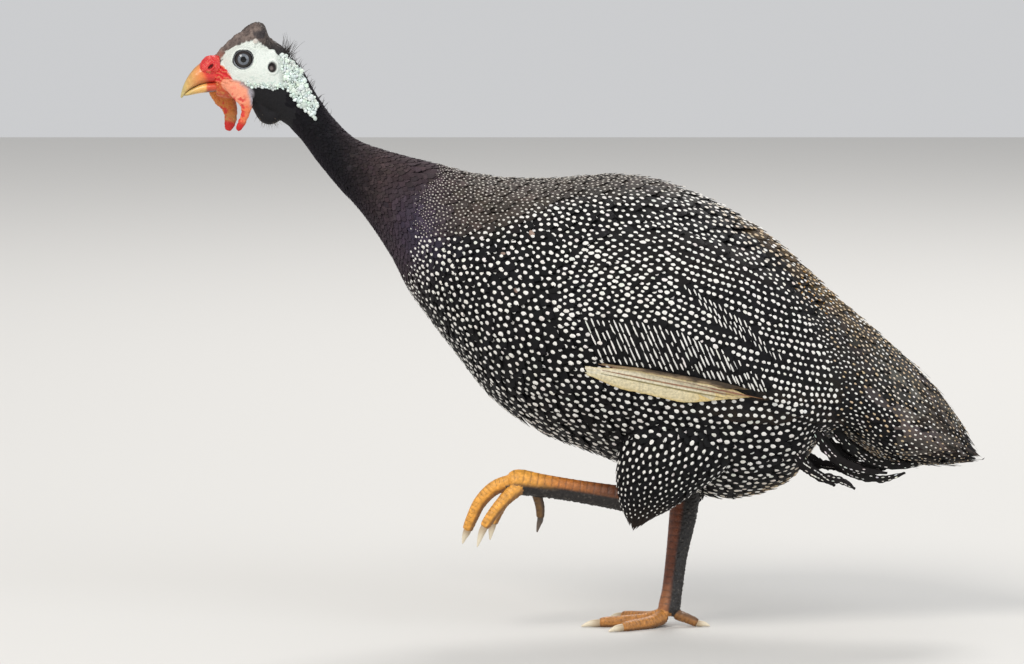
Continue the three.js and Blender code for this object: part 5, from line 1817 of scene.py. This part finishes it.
def clawOf(name, toe):
    tip, before = (np.array(toe["path"][k], float) for k in (-1, -2))
    claw, thin = np.array(toe["claw"]), toe["thin"]
    start, bend = tip * 0.75 + before * 0.25, (tip + claw) / 2 + np.array((0, 0, 0.5))
    rows = [(*start, thin * 0.72, thin * 0.62), (*(tip * 0.9 + claw * 0.1), thin * 0.74, thin * 0.6),
            (*bend, thin * 0.56, thin * 0.42), (*claw, 0.4, 0.35)]
    p, faces = tube(limbSurface(rows, 0.2, 0.2), 0, 3, clawLook["rings"], clawLook["sides"])
    if name.startswith("right"):
        p[:, 2] = np.maximum(p[:, 2], 0.05)
    at = np.append(np.repeat(np.linspace(0, 1, clawLook["rings"]), clawLook["sides"]), (0, 1))
    root, point = ("darkRoot", "darkPoint") if name == clawLook["dark"] else ("root", "point")
    return p, faces, blendTo(np.tile(clawLook[root], (len(p), 1)), clawLook[point], ease(0.2, 0.8, at))


clawParts = [clawOf(name, toe) for name, toe in toes.items()]
points, faces = joinMeshes([part[:2] for part in clawParts])
claws = newPiece("claws", place(points), faces, [clawHorn],
                 np.concatenate([part[2] for part in clawParts]))
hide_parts(*[n.replace("toe", "claw") for n in toes])


# Cream flight feathers low on each wing
primaries = {
    # blades from the lower edge up: root, length, width, slant, tone
    "blades": [((3, 164.5), 77, 10, -0.225, (0.78, 0.69, 0.46)),
               ((2, 166.0), 89, 11, -0.2, (0.82, 0.76, 0.58)),
               ((2, 168), 96, 9, -0.195, (0.84, 0.77, 0.6)),
               ((12, 170.5), 92, 5.5, -0.225, (0.4, 0.29, 0.18)),
               ((50, 158), 52, 6.5, -0.16, (0.74, 0.62, 0.4)),
               ((4, 166.0), 88, 0.8, -0.205, (0.3, 0.26, 0.12)),
               ((4, 168.2), 93, 0.9, -0.2, (0.36, 0.2, 0.13)),
               ((10, 170.3), 104, 1.1, -0.222, (0.42, 0.2, 0.14))],
    # how far the tips stand out: the blades, and the thin dark quills on them
    "bladeOut": 1.5,
    "quillOut": 1.95,
    "edgeShade": (0.92, 0.78, 0.48),
    "streak": (0.5, 0.42, 0.22),
    "blotch": (0.035, 0.025, 0.02),
}


def creamFeathers(surface, word):
    sheets = []
    for (x, z), long, wide, slant, tone in primaries["blades"]:
        tint = np.array([tone])
        out = primaries["bladeOut"] if wide > 2 else primaries["quillOut"]
        sheets.append(layFeathers(surface, np.array([float(x)]), np.array([float(z)]), long, wide, slant,
                -0.8, out, tint,
                                  rows=40, cols=13, camber=0.1, point=0.82, rootWidth=0.25,
                                  edgeTint=tint * np.array(primaries["edgeShade"]),
                **bakePatch["primaries" + word]))
    points, faces, tints, vanes, bakes = joinSheets(sheets)
    streak = fbm(points * np.array((0.12, 1, 1)), 0.9, 140.0)
    upperEdge = points[:, 2] - (171.5 + (points[:, 0] - 20) * -0.222)
    blotch = ease(-2.2, 0.6, upperEdge + fbm(points, 5.0, 150.0) * 2.2)
    tints = paintAll(tints, [(primaries["streak"], ease(0.1, 0.6, streak) * 0.4),
            (primaries["blotch"], blotch * 0.9)])
    piece = newPiece("primaries" + word, place(points), faces, [creamQuill],
            np.clip(tints, 0, 1),
                     {"vane": vanes, "OFBake": bakes})
    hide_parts("primaries_" + word.lower())


for word, surface in flanks.items():
    creamFeathers(surface, word)


# Loose feathers hanging behind the thighs and bristles of the head
loose = {
    "paths": [[(141.2, 34, 129), (157.7, 32, 105.6), (165.6, 31, 98.2), (182.1, 28, 94.5), (197.3, 26, 98.2)],
              [(132, 38, 118), (136.3, 37, 105.6), (144.9, 36, 97), (157.7, 34, 94.5), (166.4, 33, 89.2)],
              [(146, 30, 140), (153, 29, 126), (164, 28, 113), (175, 26, 104)],
              [(158, 24, 122), (167, 23, 112), (180, 21, 104), (196, 19, 101.5), (213.2, 18, 104)],
              [(138, 42, 132), (147, 40, 116), (156, 38, 107), (170, 35, 101), (186, 32, 99)],
              [(126, 44, 118), (133, 43, 106), (143, 41, 99), (154, 39, 92)]],
    "width": 6.0,
    "rows": 36,
    "cols": 7,
    "black": (0.012, 0.011, 0.011),
    "ragged": 0.12,
    # the share of places on them without a spot, and the spots' length, width and colour
    "bare": 0.35,
    "spotLength": (1.4, 2.6),
    "spotWidth": (0.6, 0.95),
    "spot": (0.7, 0.68, 0.64),
}


def looseFeathers():
    points, faces, tints, vanes, count = [], [], [], [], 0
    centres, normals, lies = [], [], []
    rows, cols = loose["rows"], loose["cols"]
    for side in (-1, 1):
        for path in loose["paths"]:
            table = np.array(path, float) * (1, side, 1)
            u = np.linspace(0, len(path) - 1, rows)
            line = readTable(table, u)
            along = unit(np.gradient(line, axis=0))
            out = np.array([0.15, side * 0.85, -0.35])
            across = unit(np.cross(along, out))
            under = np.cross(across, along)
            t = np.linspace(-1, 1, cols)
            share = u / u[-1]
            taper = np.sqrt(np.clip(1 - ease(0.6, 1, share) * 0.92, 0.02, 1))
            half = loose["width"] / 2 * (0.5 + 0.5 * ease(0, 0.3, share)) * taper
            rag = rng.normal(0, loose["ragged"], (rows, cols)) * np.abs(t) ** 2
            p = (line[:, None] + across[:, None] * (half[:, None] * t * (1 + rag))[..., None]
                 - under[:, None] * (0.22 * half[:, None] * t ** 2)[..., None])
            points.append(p.reshape(-1, 3))
            faces.append(gridFaces(rows, cols) + count)
            count += rows * cols
            tints.append(np.repeat(paint(1, loose["black"], 0.2), rows * cols, 0))
            vanes.append(np.stack(np.broadcast_arrays(t[None] / 2 + 0.5, share[:, None]), -1).reshape(-1, 2))
            middle = cols // 2
            for k in range(3, rows - 3, 2):
                for edge in (0, cols - 1):
                    if rng.random() < loose["bare"]:
                        continue
                    normal = under[k] * (1 if under[k] @ out > 0 else -1)
                    centres.append(p[k, middle] + (p[k, edge] - p[k, middle]) * 0.5 + normal * 0.25)
                    normals.append(normal)
                    lies.append(along[k])
    vanes = np.concatenate(vanes)
    newPiece("coatLoose", place(np.concatenate(points)), np.concatenate(faces), [coatBlack],
             np.concatenate(tints), {"vane": vanes, "OFBake": 0.92 + 0.003 * vanes})
    n = len(centres)
    long, wide = rng.uniform(*loose["spotLength"], n), rng.uniform(*loose["spotWidth"], n)
    p, f, step = spotDiscs(np.array(centres), np.array(normals), np.array(lies), long, wide)
    newPiece("spotsLoose", place(p), f, [spotWhite],
             np.repeat(paint(n, loose["spot"], 0.1), step, 0),
             {"OFBake": np.stack([p[:, 0] / 600 + 0.5, p[:, 2] / 420], -1)})


looseFeathers()


bristles = {
    # nape: a tuft behind the casque, then single ones down the neck
    "tuft": 60,
    "single": 50,
    "nape": (0.03, 0.024, 0.022),
    "napeThick": 0.17,
    "underThroat": 60,
    "throat": (0.2, 0.16, 0.11),
    "throatThick": 0.12,
    "droop": 0.1,
    "rings": 7,
    "sides": 4,
}


def hairs(name, roots, ways, lengths, thick, colour):
    rows, sides = bristles["rings"], bristles["sides"]
    n = len(roots)
    ways = unit(ways)
    side = unit(np.cross(ways, (0.3, 0.8, 0.2)))
    other = np.cross(ways, side)
    t = np.linspace(0, 1, rows)
    a = np.linspace(0, 2 * np.pi, sides, endpoint=False)
    curl = rng.normal(0, 0.16, (n, 1, 1))
    straight, bent = (lengths[:, None] * t)[..., None], (lengths[:, None] * t ** 2)[..., None]
    line = (roots[:, None] + ways[:, None] * straight + side[:, None] * curl * bent
            + np.array([0.0, 0.0, -bristles["droop"]]) * bent)
    radius = thick * (1 - 0.85 * t)[None, :, None, None]
    p = line[:, :, None] + radius * (side[:, None, None] * np.cos(a)[:, None]
            + other[:, None, None] * np.sin(a)[:, None])
    faces = (np.arange(n)[:, None, None] * rows * sides + gridFaces(rows, sides, True)[None]).reshape(-1, 4)
    tints = np.repeat(paint(n, colour, 0.25), rows * sides, 0)
    newPiece(name, place(p.reshape(-1, 3)), faces, [bristleDark], tints)


count = bristles["tuft"] + bristles["single"]
hairU = np.concatenate([rng.normal(5.75, 0.16, bristles["tuft"]), rng.uniform(6.0, 8.8, bristles["single"])])
hairV = rng.normal(0, 0.28, count)
tall = np.where(hairU < 6.2, rng.uniform(5, 15, count), rng.uniform(2.5, 5.5, count))
ways = outOf(bodySurface, hairU, hairV) + rng.normal(0, 0.28, (count, 3)) + (0.15, 0, 0.25)
hairs("napeBristles", bodySurface(hairU, hairV, -0.3), ways, tall, bristles["napeThick"], bristles["nape"])
count = bristles["underThroat"]
throatSurface = limbSurface(throat, 0.5, 0.5)
hairU, hairV = rng.uniform(1.6, 3.6, count), rng.normal(0, 0.5, count)
roots = throatSurface(hairU, hairV, -0.2)
ways = throatSurface(hairU, hairV, 1.0) - roots + rng.normal(0, 0.3, (count, 3)) + (0.2, 0, -0.3)
tall = rng.uniform(1.8, 4.2, count)
hairs("throatBristles", roots, ways, tall, bristles["throatThick"], bristles["throat"])


# Floor, light and camera
studio = {
    "floor": (0.62, 0.61, 0.59),
    "floorSize": 8,
    "sky": (0.97, 0.98, 1.0, 1),
    "skyStrength": 0.62,
    # name, place, where it points, size, power, colour
    "lights": [("keyLight", (-1.4, -2.2, 2.6), (0, 0, 0.18), 1.4, 70, (1.0, 0.96, 0.9)),
               ("fillLight", (1.8, -1.6, 1.4), (0, 0, 0.18), 1.8, 22, (0.92, 0.96, 1.0)),
               ("rimLight", (0.6, 2.2, 2.4), (0, 0, 0.2), 1.2, 45, (1.0, 0.98, 0.95))],
}
bpy.ops.mesh.primitive_plane_add(size=studio["floorSize"], location=(0, 0, 0))
floor = bpy.context.object
floor.name = "floor"
floor.data.materials.append(newMaterial("floorPaint", Base_Color=studio["floor"], Roughness=0.9)[0])
world = bpy.data.worlds.new("studio")
bpy.context.scene.world = world
world.use_nodes = True
background = world.node_tree.nodes["Background"]
background.inputs[0].default_value = studio["sky"]
background.inputs[1].default_value = studio["skyStrength"]


def softLight(name, location, target, size, power, colour):
    data = bpy.data.lights.new(name, "AREA")
    data.shape, data.size, data.energy, data.color = "DISK", size, power, colour
    lamp = bpy.data.objects.new(name, data)
    lamp.location = location
    lamp.rotation_euler = (Vector(target) - Vector(location)).to_track_quat("-Z", "Y").to_euler()
    bpy.context.scene.collection.objects.link(lamp)


for light in studio["lights"]:
    softLight(*light)

view = {"elevation": math.radians(6), "distance": 4.0, "target": (-0.0414, 0.0, 0.1816), "lens": 230.5}
cameraData = bpy.data.cameras.new("camera")
cameraData.lens, cameraData.sensor_width = view["lens"], 36
camera = bpy.data.objects.new("camera", cameraData)
camera.location = (view["target"][0], -view["distance"] * math.cos(view["elevation"]),
                   view["target"][2] + view["distance"] * math.sin(view["elevation"]))
camera.rotation_euler = (math.radians(90) - view["elevation"], 0, 0)
bpy.context.scene.collection.objects.link(camera)
bpy.context.scene.camera = camera
bpy.context.scene.view_settings.view_transform = "Standard"
